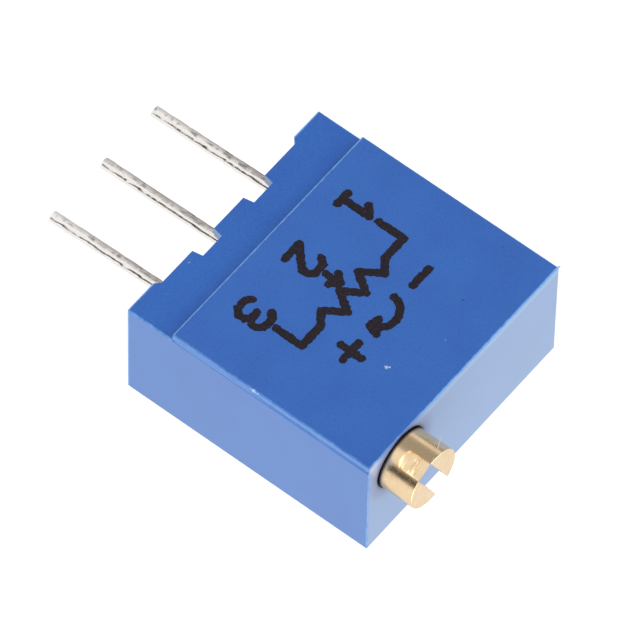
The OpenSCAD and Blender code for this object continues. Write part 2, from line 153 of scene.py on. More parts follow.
class Wobble:
    """Smooth noise from a seeded grid, for outlines and surfaces that nothing ruled straight."""

    def __init__(self, seed: int, size: int = 64) -> None:
        """Draws the grid.

        Args:
            seed: Seed of the random draw.
            size: Number of grid points along each side, after which the noise repeats.
        """
        self.size = size
        self.grid = np.random.default_rng(seed).uniform(-1, 1, (size, size))

    def at(self, u: np.ndarray | float, v: np.ndarray | float = 0.0) -> np.ndarray:
        """Reads the noise between grid points, which lie 1 apart.

        Args:
            u: First coordinate.
            v: Second coordinate.

        Returns:
            Noise from -1 to 1.
        """
        u, v = np.broadcast_arrays(np.asarray(u, float), np.asarray(v, float))
        cell_u, cell_v = np.floor(u).astype(int), np.floor(v).astype(int)
        share_u, share_v = smooth_step(u - cell_u, 0, 1), smooth_step(v - cell_v, 0, 1)
        low_u, low_v = cell_u % self.size, cell_v % self.size
        high_u, high_v = (cell_u + 1) % self.size, (cell_v + 1) % self.size
        near = self.grid[low_u, low_v] * (1 - share_u) + self.grid[high_u, low_v] * share_u
        far = self.grid[low_u, high_v] * (1 - share_u) + self.grid[high_u, high_v] * share_u
        return near * (1 - share_v) + far * share_v

    def value(self, u: float, v: float = 0.0) -> float:
        """Reads the noise at one place, as a plain number."""
        return float(self.at(u, v))


@dataclass
class Shell:
    """Vertices in millimetres and the faces between them, from which a piece is made."""

    vertices: list[Sequence[float]] = field(default_factory=list)
    faces: list[Sequence[int]] = field(default_factory=list)

    def add(self, vertices: Iterable[Sequence[float]], faces: Iterable[Sequence[int]]) -> None:
        """Adds a patch whose faces count from its own first vertex.

        Args:
            vertices: The patch's vertices.
            faces: The patch's faces.
        """
        start = len(self.vertices)
        self.vertices.extend(tuple(float(x) for x in v) for v in vertices)
        self.faces.extend(tuple(start + i for i in face) for face in faces)

    def add_rings(self, rings: Sequence[np.ndarray]) -> None:
        """Adds a closed skin over a row of rings, with a flat cap at each end.

        Args:
            rings: Arrays of as many points each, in order along the piece.
        """
        count = len(rings[0])
        last = (len(rings) - 1) * count
        faces: list[Sequence[int]] = [range(count), [last + i for i in range(count)][::-1]]
        for row in range(len(rings) - 1):
            for i in range(count):
                a, b = row * count + i, row * count + (i + 1) % count
                faces.append((a, a + count, b + count, b))
        self.add(np.concatenate(rings), faces)

    def mesh(self, name: str) -> bpy.types.Mesh:
        """Builds the mesh in metres, with its faces turned outwards.

        Args:
            name: Name of the mesh.

        Returns:
            The new mesh.
        """
        mesh = bpy.data.meshes.new(name)
        mesh.from_pydata([[x * MM for x in v] for v in self.vertices], [], self.faces)
        work = bmesh.new()
        work.from_mesh(mesh)
        bmesh.ops.recalc_face_normals(work, faces=work.faces)
        work.to_mesh(mesh)
        work.free()
        mesh.validate()
        return mesh

    def object(self, name: str) -> bpy.types.Object:
        """Puts the mesh into the scene.

        Args:
            name: Name of the object and of its mesh.

        Returns:
            The new object.
        """
        made = bpy.data.objects.new(name, self.mesh(name))
        bpy.context.scene.collection.objects.link(made)
        return made


def shade(piece: bpy.types.Object, crease_deg: float) -> None:
    """Shades a piece smooth, but for edges sharper than an angle.

    Args:
        piece: The piece.
        crease_deg: Angle between two faces from which their edge stays sharp.
    """
    piece.data.shade_smooth()
    piece.data.set_sharp_from_angle(angle=math.radians(crease_deg))


def skin(name: str, rings: Sequence[np.ndarray], crease_deg: float) -> bpy.types.Object:
    """Builds a closed piece over a row of rings.

    Args:
        name: Name of the piece.
        rings: Arrays of as many points each, in order along the piece.
        crease_deg: Angle between two faces from which their edge stays sharp.

    Returns:
        The shaded piece.
    """
    shell = Shell()
    shell.add_rings(rings)
    piece = shell.object(name)
    shade(piece, crease_deg)
    return piece


def carve(piece: bpy.types.Object, cutter: bpy.types.Object) -> None:
    """Takes a cutter's volume out of a piece, and removes the cutter.

    Args:
        piece: The piece, whose mesh is replaced.
        cutter: The object that is taken out.
    """
    cut = piece.modifiers.new("cut", "BOOLEAN")
    cut.operation = "DIFFERENCE"
    cut.solver = "EXACT"
    cut.object = cutter
    bpy.context.view_layer.update()
    graph = bpy.context.evaluated_depsgraph_get()
    old = piece.data
    made = bpy.data.meshes.new_from_object(piece.evaluated_get(graph))
    piece.modifiers.clear()
    piece.data = made
    made.name = piece.name
    bpy.data.meshes.remove(old)
    bpy.data.objects.remove(cutter)


def circle_at(centre: Sequence[float], radius: np.ndarray | float, steps: int) -> np.ndarray:
    """Gives a level ring of points.

    Args:
        centre: Centre of the ring.
        radius: One radius, or one for each point.
        steps: Number of points.

    Returns:
        The points, in an array of steps by 3.
    """
    angle = np.arange(steps) * TURN / steps
    return np.stack(
        [
            centre[0] + radius * np.cos(angle),
            centre[1] + radius * np.sin(angle),
            np.full(steps, float(centre[2])),
        ],
        axis=1,
    )


def ring_across(
    centre: np.ndarray, side: np.ndarray, other: np.ndarray, radius: float, steps: int
) -> np.ndarray:
    """Gives a ring of points in the plane of two directions.

    Args:
        centre: Centre of the ring.
        side: First direction.
        other: Second direction, at right angles to the first.
        radius: Radius of the ring.
        steps: Number of points.

    Returns:
        The points, in an array of steps by 3.
    """
    angle = np.arange(steps) * TURN / steps
    return centre + radius * (np.cos(angle)[:, None] * side + np.sin(angle)[:, None] * other)


class Graph:
    """Fills a node tree, one node at a time."""

    def __init__(self, tree: bpy.types.NodeTree) -> None:
        """Takes the tree that is to be filled."""
        self.tree = tree

    def node(self, kind: str, inputs: dict[Any, Any] | None = None, **settings: Any) -> bpy.types.Node:
        """Adds a node.

        Args:
            kind: The node's type.
            inputs: What feeds each input, by its name or number: a socket or a value.
            settings: The node's own settings.

        Returns:
            The new node.
        """
        made = self.tree.nodes.new(kind)
        for key, value in settings.items():
            setattr(made, key, value)
        self.fill(made, inputs or {})
        return made

    def fill(self, node: bpy.types.Node, inputs: dict[Any, Any]) -> None:
        """Feeds several inputs of a node.

        Args:
            node: The node.
            inputs: What feeds each input, by its name or number: a socket or a value.
        """
        for key, value in inputs.items():
            self.feed(node.inputs[key], value)

    def feed(self, target: Socket, value: Any) -> None:
        """Links a socket to another one, or sets its own value.

        Args:
            target: The socket that is fed.
            value: The socket that feeds it, or a value.
        """
        if isinstance(value, Socket):
            self.tree.links.new(value, target)
        else:
            target.default_value = value

    def math(self, operation: str, a: Any, b: Any = 0.0) -> Socket:
        """Works out one number from two, each a socket or a value."""
        return self.node("ShaderNodeMath", {0: a, 1: b}, operation=operation).outputs[0]

    def vector(self, operation: str, a: Any, b: Any = (0.0, 0.0, 0.0)) -> Socket:
        """Works out one vector from two, each a socket or a value."""
        return self.node("ShaderNodeVectorMath", {0: a, 1: b}, operation=operation).outputs[0]

    def mix(self, share: Any, a: Any, b: Any) -> Socket:
        """Mixes colour a with colour b, which has that share."""
        return self.node("ShaderNodeMix", {0: share, 6: a, 7: b}, data_type="RGBA").outputs[2]

    def ramp(self, value: Any, start: Any, end: Any, low: Any = 0.0, high: Any = 1.0) -> Socket:
        """Maps the stretch from start to end of a value evenly to low to high, and clamps it."""
        inputs = {"Value": value, "From Min": start, "From Max": end, "To Min": low, "To Max": high}
        return self.node("ShaderNodeMapRange", inputs).outputs[0]

    def spread(self, noise: Any, low: Any = 0.0, high: Any = 1.0) -> Socket:
        """Spreads noise over low to high, from the stretch in which most of it lies."""
        return self.ramp(noise, NOISE_LOW, NOISE_HIGH, low, high)

    def inverse(self, value: Any) -> Socket:
        """Gives one divided by a number."""
        return self.math("DIVIDE", 1.0, value)

    def times(self, a: Any, b: Any) -> Socket:
        """Multiplies two numbers."""
        return self.math("MULTIPLY", a, b)

    def length(self, way: Any) -> Socket:
        """Gives a vector's length."""
        return self.node("ShaderNodeVectorMath", {0: way}, operation="LENGTH").outputs["Value"]

    def parts(self, place: Any) -> Any:
        """Gives a vector's X, Y and Z."""
        return self.node("ShaderNodeSeparateXYZ", {0: place}).outputs

    def join(self, x: Any, y: Any, z: Any = 0.0) -> Socket:
        """Makes a vector of three numbers."""
        return self.node("ShaderNodeCombineXYZ", {0: x, 1: y, 2: z}).outputs[0]

    def place_mm(self) -> Socket:
        """Gives a point's place on its own object, in millimetres."""
        at = self.node("ShaderNodeTexCoord").outputs["Object"]
        return self.vector("MULTIPLY", at, (1 / MM,) * 3)

    def noise(self, place: Any, scale: Any, detail: float = 2.0, rough: float = 0.5) -> Socket:
        """Gives noise of about 0 to 1 at a place, with that many features for each unit."""
        inputs = {"Vector": place, "Scale": scale, "Detail": detail, "Roughness": rough}
        return self.node("ShaderNodeTexNoise", inputs).outputs[0]


def bare_material(name: str) -> tuple[bpy.types.Material, Graph]:
    """Adds a material with an empty node tree.

    Args:
        name: Name of the material.

    Returns:
        The material, and its tree, to be filled.
    """
    made = bpy.data.materials.new(name)
    made.use_nodes = True
    made.node_tree.nodes.clear()
    return made, Graph(made.node_tree)


class Effect:
    """An effect that several materials use, kept as one shader node group."""

    title: ClassVar[str] = "effect"
    given: ClassVar[dict[str, float | Point3]] = {}
    made: ClassVar[tuple[str, ...]] = ("Height",)

    def __init__(self) -> None:
        """Builds the group, with its named inputs and outputs."""
        self.tree = bpy.data.node_groups.new(self.title, "ShaderNodeTree")
        for name, value in self.given.items():
            kind = "NodeSocketFloat" if isinstance(value, float) else "NodeSocketVector"
            socket = self.tree.interface.new_socket(name=name, in_out="INPUT", socket_type=kind)
            socket.default_value = value
        for name in self.made:
            self.tree.interface.new_socket(name=name, in_out="OUTPUT", socket_type="NodeSocketFloat")
        graph = Graph(self.tree)
        source = graph.node("NodeGroupInput").outputs
        graph.node("NodeGroupOutput", self.draw(graph, source))

    def draw(self, graph: Graph, given: Any) -> dict[str, Socket]:
        """Draws the nodes inside the group.

        Args:
            graph: The group's own tree.
            given: The sockets of the group's inputs, by name.

        Returns:
            The socket that feeds each output.
        """
        raise NotImplementedError

    def place(self, graph: Graph, values: dict[str, float | Point3]) -> Any:
        """Places the group in a material.

        Args:
            graph: The material's tree.
            values: The values of its inputs there, by name.

        Returns:
            The sockets of the group's outputs, by name.
        """
        return graph.node("ShaderNodeGroup", values, node_tree=self.tree).outputs


class FineGrain(Effect):
    """The close, even texture of a moulded, cast or fired surface, with a slow change of tone under it."""

    title = "fine_grain"
    given = {"Size": 0.05, "Tone Size": 1.5}
    made = ("Height", "Tone")

    def draw(self, graph: Graph, given: Any) -> dict[str, Socket]:
        """Draws noise at two sizes, both in millimetres.

        Args:
            graph: The group's own tree.
            given: The sockets of the group's inputs, by name.

        Returns:
            The socket that feeds each output.
        """
        place = graph.place_mm()
        grain = graph.noise(place, graph.inverse(given["Size"]), 3.0, 0.6)
        tone = graph.noise(place, graph.inverse(given["Tone Size"]), 2.0, 0.5)
        return {"Height": grain, "Tone": graph.spread(tone)}


class Specks(Effect):
    """Small spots, some dark and some pale, strewn over a surface."""

    title = "specks"
    given = {"Spacing": 0.5, "Size": 0.06, "Share": 0.1}
    made = ("Dark", "Pale")
    dark_share: ClassVar[float] = 0.55
    raggedness: ClassVar[Point2] = (0.5, 1.6)
    full_share: ClassVar[float] = 0.6

    def draw(self, graph: Graph, given: Any) -> dict[str, Socket]:
        """Draws one spot in some of the cells of a Voronoi pattern.

        Args:
            graph: The group's own tree.
            given: The sockets of the group's inputs, by name.

        Returns:
            The socket that feeds each output.
        """
        place = graph.place_mm()
        shake = graph.noise(place, 14.0, 2.0)
        scale = graph.inverse(given["Spacing"])
        cells = graph.node("ShaderNodeTexVoronoi", {"Vector": place, "Scale": scale})
        apart = graph.times(cells.outputs["Distance"], given["Spacing"])
        uneven = graph.times(apart, graph.spread(shake, *self.raggedness))
        edge = graph.times(given["Size"], self.full_share)
        spot = graph.ramp(uneven, edge, given["Size"], 1.0, 0.0)
        draw = graph.node("ShaderNodeSeparateColor", {0: cells.outputs["Color"]}).outputs
        chosen = graph.math("LESS_THAN", draw[0], given["Share"])
        shown = graph.times(spot, chosen)
        dark = graph.math("LESS_THAN", draw[1], self.dark_share)
        pale = graph.math("SUBTRACT", 1.0, dark)
        return {"Dark": graph.times(shown, dark), "Pale": graph.times(shown, pale)}


class EdgeRubAndHighlight(Effect):
    """The paler line along the outer edges of a block-shaped piece: rubbed wear, with a painted highlight
    where the rounded edge catches the light.
    """

    title = "edge_rub_and_highlight"
    given = {
        "Low Corner": (-1.0, -1.0, -1.0), "High Corner": (1.0, 1.0, 1.0), "Width": 0.1,
        "Back Limit": FAR, "Top Limit": FAR
    }
    made = ("Mask",)
    raggedness: ClassVar[Point2] = (0.5, 1.0)
    full_share: ClassVar[float] = 0.25

    def draw(self, graph: Graph, given: Any) -> dict[str, Socket]:
        """Draws the mask where a point lies close to two of the block's planes at once.

        Args:
            graph: The group's own tree.
            given: The sockets of the group's inputs, by name.

        Returns:
            The socket that feeds each output.
        """
        place = graph.place_mm()
        low, high = given["Low Corner"], given["High Corner"]
        middle = graph.vector("MULTIPLY", graph.vector("ADD", low, high), (0.5,) * 3)
        half = graph.vector("MULTIPLY", graph.vector("SUBTRACT", high, low), (0.5,) * 3)
        from_middle = graph.vector("ABSOLUTE", graph.vector("SUBTRACT", place, middle))
        depth = graph.vector("MAXIMUM", graph.vector("SUBTRACT", half, from_middle), (0.0,) * 3)
        apart = graph.parts(depth)
        nearest = graph.math("MINIMUM", graph.math("MINIMUM", apart[0], apart[1]), apart[2])
        furthest = graph.math("MAXIMUM", graph.math("MAXIMUM", apart[0], apart[1]), apart[2])
        whole = graph.math("ADD", graph.math("ADD", apart[0], apart[1]), apart[2])
        second = graph.math("SUBTRACT", graph.math("SUBTRACT", whole, nearest), furthest)
        shake = graph.spread(graph.noise(place, 5.0, 3.0, 0.7), *self.raggedness)
        reach = graph.times(given["Width"], shake)
        both = graph.math("ADD", nearest, second)
        line = graph.ramp(both, graph.times(reach, self.full_share), reach, 1.0, 0.0)
        part = graph.parts(place)
        front = graph.math("LESS_THAN", part[1], given["Back Limit"])
        below = graph.math("LESS_THAN", part[2], given["Top Limit"])
        return {"Mask": graph.times(line, graph.times(front, below))}


class ToolMarks(Effect):
    """Fine lines that a tool leaves, round an upright axis or straight along X."""

    title = "tool_marks"
    given = {"Axis Point": (0.0, 0.0, 0.0), "Round": 1.0, "Pitch": 0.03}
    made = ("Height", "Tone")
    drift: ClassVar[float] = 0.03

    def draw(self, graph: Graph, given: Any) -> dict[str, Socket]:
        """Draws noise that runs along the tool's way and changes quickly across it.

        Args:
            graph: The group's own tree.
            given: The sockets of the group's inputs, by name.

        Returns:
            The socket that feeds each output.
        """
        part = graph.parts(graph.vector("SUBTRACT", graph.place_mm(), given["Axis Point"]))
        radius = graph.length(graph.join(part[0], part[1]))
        straight = graph.join(part[1], part[2], graph.times(part[0], self.drift))
        across = graph.mix(given["Round"], straight, graph.join(radius, part[2]))
        lines = graph.noise(across, graph.inverse(given["Pitch"]), 2.0, 0.7)
        slow = graph.noise(graph.place_mm(), 3.0, 3.0, 0.6)
        return {"Height": lines, "Tone": graph.spread(slow)}


class DipRipple(Effect):
    """The gentle waves and fine crystals of a metal that was dipped or flowed."""

    title = "dip_ripple"
    given = {"Size": 0.25}
    made = ("Height", "Tone")
    fineness: ClassVar[float] = 9.0
    fine_share: ClassVar[float] = 0.15

    def draw(self, graph: Graph, given: Any) -> dict[str, Socket]:
        """Draws slow waves with a fine crystal pattern over them.

        Args:
            graph: The group's own tree.
            given: The sockets of the group's inputs, by name.

        Returns:
            The socket that feeds each output.
        """
        place = graph.place_mm()
        scale = graph.inverse(given["Size"])
        wave = graph.noise(place, scale, 2.0, 0.5)
        fine = graph.noise(place, graph.times(scale, self.fineness), 2.0, 0.6)
        both = graph.math("ADD", graph.times(wave, 1.0 - self.fine_share), graph.times(fine, self.fine_share))
        return {"Height": both, "Tone": graph.ramp(fine, 0.35, 0.65)}


class Spot(Effect):
    """One ragged mark at a place."""

    title = "spot"
    given = {"Centre": (0.0, 0.0, 0.0), "Radius": 0.05}
    made = ("Mask",)
    raggedness: ClassVar[Point2] = (0.55, 1.3)
    full_share: ClassVar[float] = 0.6

    def draw(self, graph: Graph, given: Any) -> dict[str, Socket]:
        """Draws a ball about the centre, with its reach shaken by noise.

        Args:
            graph: The group's own tree.
            given: The sockets of the group's inputs, by name.

        Returns:
            The socket that feeds each output.
        """
        place = graph.place_mm()
        apart = graph.length(graph.vector("SUBTRACT", place, given["Centre"]))
        shake = graph.spread(graph.noise(place, 16.0, 3.0, 0.7), *self.raggedness)
        reach = graph.times(given["Radius"], shake)
        return {"Mask": graph.ramp(apart, graph.times(reach, self.full_share), reach, 1.0, 0.0)}


class PaintedShadeRing(Effect):
    """Painted shade, as a ring, where a round piece goes into a hole."""

    title = "painted_shade_ring"
    given = {
        "Axis Point": (0.0, 0.0, 0.0), "Full Radius": 1.0, "Clear Radius": 1.1, "Start Level": 0.0,
        "Full Level": 0.1, "Clear Level": 0.2
    }
    made = ("Mask",)

    def draw(self, graph: Graph, given: Any) -> dict[str, Socket]:
        """Draws the mask full inside a radius and between two levels, and fades it out beyond them.

        Args:
            graph: The group's own tree.
            given: The sockets of the group's inputs, by name.

        Returns:
            The socket that feeds each output.
        """
        part = graph.parts(graph.vector("SUBTRACT", graph.place_mm(), given["Axis Point"]))
        radius = graph.length(graph.join(part[0], part[1]))
        near = graph.ramp(radius, given["Full Radius"], given["Clear Radius"], 1.0, 0.0)
        low = graph.ramp(part[2], given["Full Level"], given["Clear Level"], 1.0, 0.0)
        begun = graph.math("GREATER_THAN", part[2], given["Start Level"])
        return {"Mask": graph.times(near, graph.times(low, begun))}


@dataclass
class Effects:
    """Every shared effect, built once."""

    grain: FineGrain = field(default_factory=FineGrain)
    specks: Specks = field(default_factory=Specks)
    rub_and_highlight: EdgeRubAndHighlight = field(default_factory=EdgeRubAndHighlight)
    spot: Spot = field(default_factory=Spot)
    marks: ToolMarks = field(default_factory=ToolMarks)
    ripple: DipRipple = field(default_factory=DipRipple)
    painted_shade_ring: PaintedShadeRing = field(default_factory=PaintedShadeRing)


@dataclass(frozen=True)
class Finish:
    """A finish: one material for one slot of the record."""

    slot: Slot
    colour: Rgb
    roughness: float

    def material(self, effects: Effects) -> bpy.types.Material:
        """Builds the material.

        Args:
            effects: The shared effects.

        Returns:
            The material, named after its slot.
        """
        made, graph = bare_material(self.slot.value)
        made.diffuse_color = linear(self.colour)
        surface = graph.node("ShaderNodeBsdfPrincipled")
        graph.node("ShaderNodeOutputMaterial", {"Surface": surface.outputs[0]})
        self.dress(graph, surface, effects)
        return made

    def dress(self, graph: Graph, surface: bpy.types.Node, effects: Effects) -> None:
        """Sets and feeds the surface shader's sockets.

        Args:
            graph: The material's tree.
            surface: The surface shader.
            effects: The shared effects.
        """
        raise NotImplementedError

    def bump(self, graph: Graph, surface: bpy.types.Node, height: Socket, depth_mm: float) -> None:
        """Raises and sinks the surface's normal by a height.

        Args:
            graph: The material's tree.
            surface: The surface shader.
            height: Height from 0 to 1.
            depth_mm: Depth in millimetres that a height of 1 stands for.
        """
        made = graph.node("ShaderNodeBump", {"Height": height, "Strength": 1.0, "Distance": depth_mm * MM})
        graph.feed(surface.inputs["Normal"], made.outputs[0])


@dataclass(frozen=True)
class Blemish:
    """A single mark on a surface, such as a nick or a speck of dirt."""

    place: Point3
    radius: float
    colour: Rgb
    share: float = 0.8


@dataclass(frozen=True)
class PaintedShade:
    """Painted shade laid into the colour: the dark at the mouth of a hole, or at the foot of the piece that
    goes into it.
    """

    axis_point: Point3
    full_radius: float
    clear_radius: float
    start_level: float
    full_level: float
    clear_level: float
    colour: Rgb = (36, 32, 70)
    share: float = 0.95

    def mask(self, graph: Graph, effects: Effects) -> Socket:
        """Gives the share of painted shade at each point.

        Args:
            graph: The material's tree.
            effects: The shared effects.

        Returns:
            The mask.
        """
        given = {"Axis Point": self.axis_point, "Full Radius": self.full_radius,
                 "Clear Radius": self.clear_radius, "Start Level": self.start_level,
                 "Full Level": self.full_level, "Clear Level": self.clear_level}
        return graph.times(effects.painted_shade_ring.place(graph, given)["Mask"], self.share)

    def over(self, graph: Graph, effects: Effects, toned: Socket) -> Socket:
        """Lays the painted shade over a colour.

        Args:
            graph: The material's tree.
            effects: The shared effects.
            toned: The colour.

        Returns:
            The colour with the painted shade in it.
        """
        return graph.mix(self.mask(graph, effects), toned, linear(self.colour))


@dataclass(frozen=True)
class RubAndHighlight:
    """The paler line of rubbed wear and painted highlight along the edges of one block of a moulding, and
    where it stops in Y and Z.
    """

    low: Point3
    high: Point3
    width: float = 0.08
    share: float = 0.9
    back_limit: float = FAR
    top_limit: float = FAR

    def mask(self, graph: Graph, effects: Effects) -> Socket:
        """Places the line in a material.

        Args:
            graph: The material's tree.
            effects: The shared effects.

        Returns:
            The share of worn and highlighted plastic.
        """
        given = {"Low Corner": self.low, "High Corner": self.high, "Width": self.width,
                 "Back Limit": self.back_limit, "Top Limit": self.top_limit}
        return graph.times(effects.rub_and_highlight.place(graph, given)["Mask"], self.share)


@dataclass(frozen=True)
class Polish:
    """The gloss that the mould left on the surface inside one box."""

    low: Point3
    high: Point3
    coat: float


@dataclass(frozen=True)
class Moulded(Finish):
    """A moulded plastic, with a fine grain, specks, and edges paler from rubbed wear and a painted highlight.
    """

    deep: Rgb
    # The pale colour serves the random mottle, rubbed wear and the painted highlight on the edges.
    wear_and_highlight: Rgb
    rubs_and_highlights: tuple[RubAndHighlight, ...]
    mottle: float = 0.1
    polishes: tuple[Polish, ...] = ()
    # Painted shade at the mouth of a hole.
    mouth: tuple[PaintedShade, ...] = ()
    grain_mm: float = 0.045
    tone_mm: float = 1.8
    grain_depth: float = 0.004
    uneven: Point2 = (-0.04, 0.05)
    speck_mm: float = 0.035
    speck_spacing: float = 0.55
    speck_share: float = 0.05
    speck_dark: Rgb = (30, 36, 60)
    speck_dark_share: float = 0.7
    speck_pale: Rgb = (190, 205, 230)
    speck_pale_share: float = 0.6
    sheen: float = 0.0
    sheen_tint: Rgb = (255, 255, 255)
    sheen_roughness: float = 0.4
    coat: float = 0.0
    coat_roughness: float = 0.3
    blemishes: tuple[Blemish, ...] = ()

    def dress(self, graph: Graph, surface: bpy.types.Node, effects: Effects) -> None:
        """Feeds the colour from its tones, edges paler from rubbed wear and a painted highlight, and specks.

        Args:
            graph: The material's tree.
            surface: The surface shader.
            effects: The shared effects.
        """
        grain = effects.grain.place(graph, {"Size": self.grain_mm, "Tone Size": self.tone_mm})
        given = {"Spacing": self.speck_spacing, "Size": self.speck_mm, "Share": self.speck_share}
        specks = effects.specks.place(graph, given)
        rubbed_and_lit = self.rubs_and_highlights[0].mask(graph, effects)
        for rub_and_highlight in self.rubs_and_highlights[1:]:
            rubbed_and_lit = graph.math("MAXIMUM", rubbed_and_lit, rub_and_highlight.mask(graph, effects))
        toned = graph.mix(grain["Tone"], linear(self.deep), linear(self.colour))
        mottle = graph.ramp(grain["Height"], 0.35, 0.75, 0.0, self.mottle)
        toned = graph.mix(mottle, toned, linear(self.wear_and_highlight))
        toned = graph.mix(rubbed_and_lit, toned, linear(self.wear_and_highlight))
        toned = graph.mix(graph.times(specks["Dark"], self.speck_dark_share), toned, linear(self.speck_dark))
        toned = graph.mix(graph.times(specks["Pale"], self.speck_pale_share), toned, linear(self.speck_pale))
        for blemish in self.blemishes:
            spot = effects.spot.place(graph, {"Centre": blemish.place, "Radius": blemish.radius})
            toned = graph.mix(graph.times(spot["Mask"], blemish.share), toned, linear(blemish.colour))
        # Painted shade at the mouth of a hole, laid over the colour.
        for dark in self.mouth:
            toned = dark.over(graph, effects, toned)
        smoothest, roughest = (self.roughness + change for change in self.uneven)
        graph.fill(surface, {
            "Base Color": toned,
            "Roughness": graph.spread(grain["Height"], smoothest, roughest),
            "Sheen Weight": self.sheen,
            "Sheen Tint": linear(self.sheen_tint),
            "Sheen Roughness": self.sheen_roughness,
            "Coat Weight": self.polished(graph, effects),
            "Coat Roughness": self.coat_roughness,
        })
        self.bump(graph, surface, grain["Height"], self.grain_depth)

    def polished(self, graph: Graph, effects: Effects) -> Socket | float:
        """Gives the coat, which differs inside each polished box and is dulled where the painted shade at a
        hole lies.

        Args:
            graph: The material's tree.
            effects: The shared effects.

        Returns:
            The coat's weight.
        """
        coat: Socket | float = self.coat
        for polish in self.polishes:
            place = graph.place_mm()
            depth = graph.vector("MINIMUM", graph.vector("SUBTRACT", place, polish.low),
                                 graph.vector("SUBTRACT", polish.high, place))
            part = graph.parts(depth)
            least = graph.math("MINIMUM", graph.math("MINIMUM", part[0], part[1]), part[2])
            coat = graph.ramp(graph.math("GREATER_THAN", least, 0.0), 0.0, 1.0, coat, polish.coat)
        # The coat is dulled under the painted shade at the hole.
        for dark in self.mouth:
            coat = graph.times(coat, graph.math("SUBTRACT", 1.0, dark.mask(graph, effects)))
        return coat


@dataclass(frozen=True)
class Ink(Finish):
    """Something thin and matt: a stamped ink, paler where the stamp pressed less, or lint."""

    thin: Rgb = (62, 52, 74)
    most_thin: float = 0.75
    dull: float = 0.75
    specular: float = 0.3
    grain_mm: float = 0.09
    tone_mm: float = 0.5
    depth_mm: float = 0.006

    def dress(self, graph: Graph, surface: bpy.types.Node, effects: Effects) -> None:
        """Feeds the colour from the ink's thick and thin spots.

        Args:
            graph: The material's tree.
            surface: The surface shader.
            effects: The shared effects.
        """
        grain = effects.grain.place(graph, {"Size": self.grain_mm, "Tone Size": self.tone_mm})
        thin = graph.ramp(grain["Height"], 0.5, 0.78, 0.0, self.most_thin)
        graph.fill(surface, {
            "Base Color": graph.mix(thin, linear(self.colour), linear(self.thin)),
            "Roughness": graph.ramp(grain["Tone"], 0.0, 1.0, self.roughness, self.dull),
            "Specular IOR Level": self.specular,
        })
        self.bump(graph, surface, grain["Height"], self.depth_mm)


@dataclass(frozen=True)
class Cast(Finish):
    """A resin that was poured, or a rubber: glossy to matt, with faint clouds and a few bubbles."""

    cloud: Rgb
    coat: float = 0.5
    coat_roughness: float = 0.08
    dulling: float = 0.12
    cloud_mm: float = 0.3
    tone_mm: float = 0.9
    bubble_mm: float = 0.07
    bubble_spacing: float = 0.6
    bubble_share: float = 0.12
    depth_mm: float = 0.012

    def dress(self, graph: Graph, surface: bpy.types.Node, effects: Effects) -> None:
        """Feeds the colour from its clouds, and sinks the bubbles.

        Args:
            graph: The material's tree.
            surface: The surface shader.
            effects: The shared effects.
        """
        grain = effects.grain.place(graph, {"Size": self.cloud_mm, "Tone Size": self.tone_mm})
        given = {"Spacing": self.bubble_spacing, "Size": self.bubble_mm, "Share": self.bubble_share}
        bubbles = effects.specks.place(graph, given)
        graph.fill(surface, {
            "Base Color": graph.mix(grain["Tone"], linear(self.colour), linear(self.cloud)),
            "Roughness": graph.spread(grain["Height"], self.roughness, self.roughness + self.dulling),
            "Coat Weight": self.coat,
            "Coat Roughness": self.coat_roughness,
        })
        hollow = graph.math("ADD", bubbles["Dark"], bubbles["Pale"])
        self.bump(graph, surface, graph.math("SUBTRACT", grain["Height"], hollow), self.depth_mm)


@dataclass(frozen=True)
class Fired(Finish):
    """A fired ceramic or film, with grains and the faint weave of its printing screen."""

    shade: Rgb
    metal: float = 0.0
    weave: float = 0.0
    uneven: float = 0.08
    weave_radians_per_mm: float = 110.0
    grain_mm: float = 0.035
    tone_mm: float = 0.4
    depth_mm: float = 0.004

    def dress(self, graph: Graph, surface: bpy.types.Node, effects: Effects) -> None:
        """Feeds the colour from its grains, and its height from them and the weave.

        Args:
            graph: The material's tree.
            surface: The surface shader.
            effects: The shared effects.
        """
        grain = effects.grain.place(graph, {"Size": self.grain_mm, "Tone Size": self.tone_mm})
        smoothest, roughest = self.roughness - self.uneven, self.roughness + self.uneven
        graph.fill(surface, {
            "Base Color": graph.mix(grain["Height"], linear(self.colour), linear(self.shade)),
            "Roughness": graph.ramp(grain["Tone"], 0.0, 1.0, smoothest, roughest),
            "Metallic": self.metal,
        })
        part = graph.parts(graph.place_mm())
        threads = [graph.math("SINE", graph.times(part[i], self.weave_radians_per_mm)) for i in (0, 2)]
        crossed = graph.times(graph.times(threads[0], threads[1]), self.weave)
        self.bump(graph, surface, graph.math("ADD", grain["Height"], crossed), self.depth_mm)


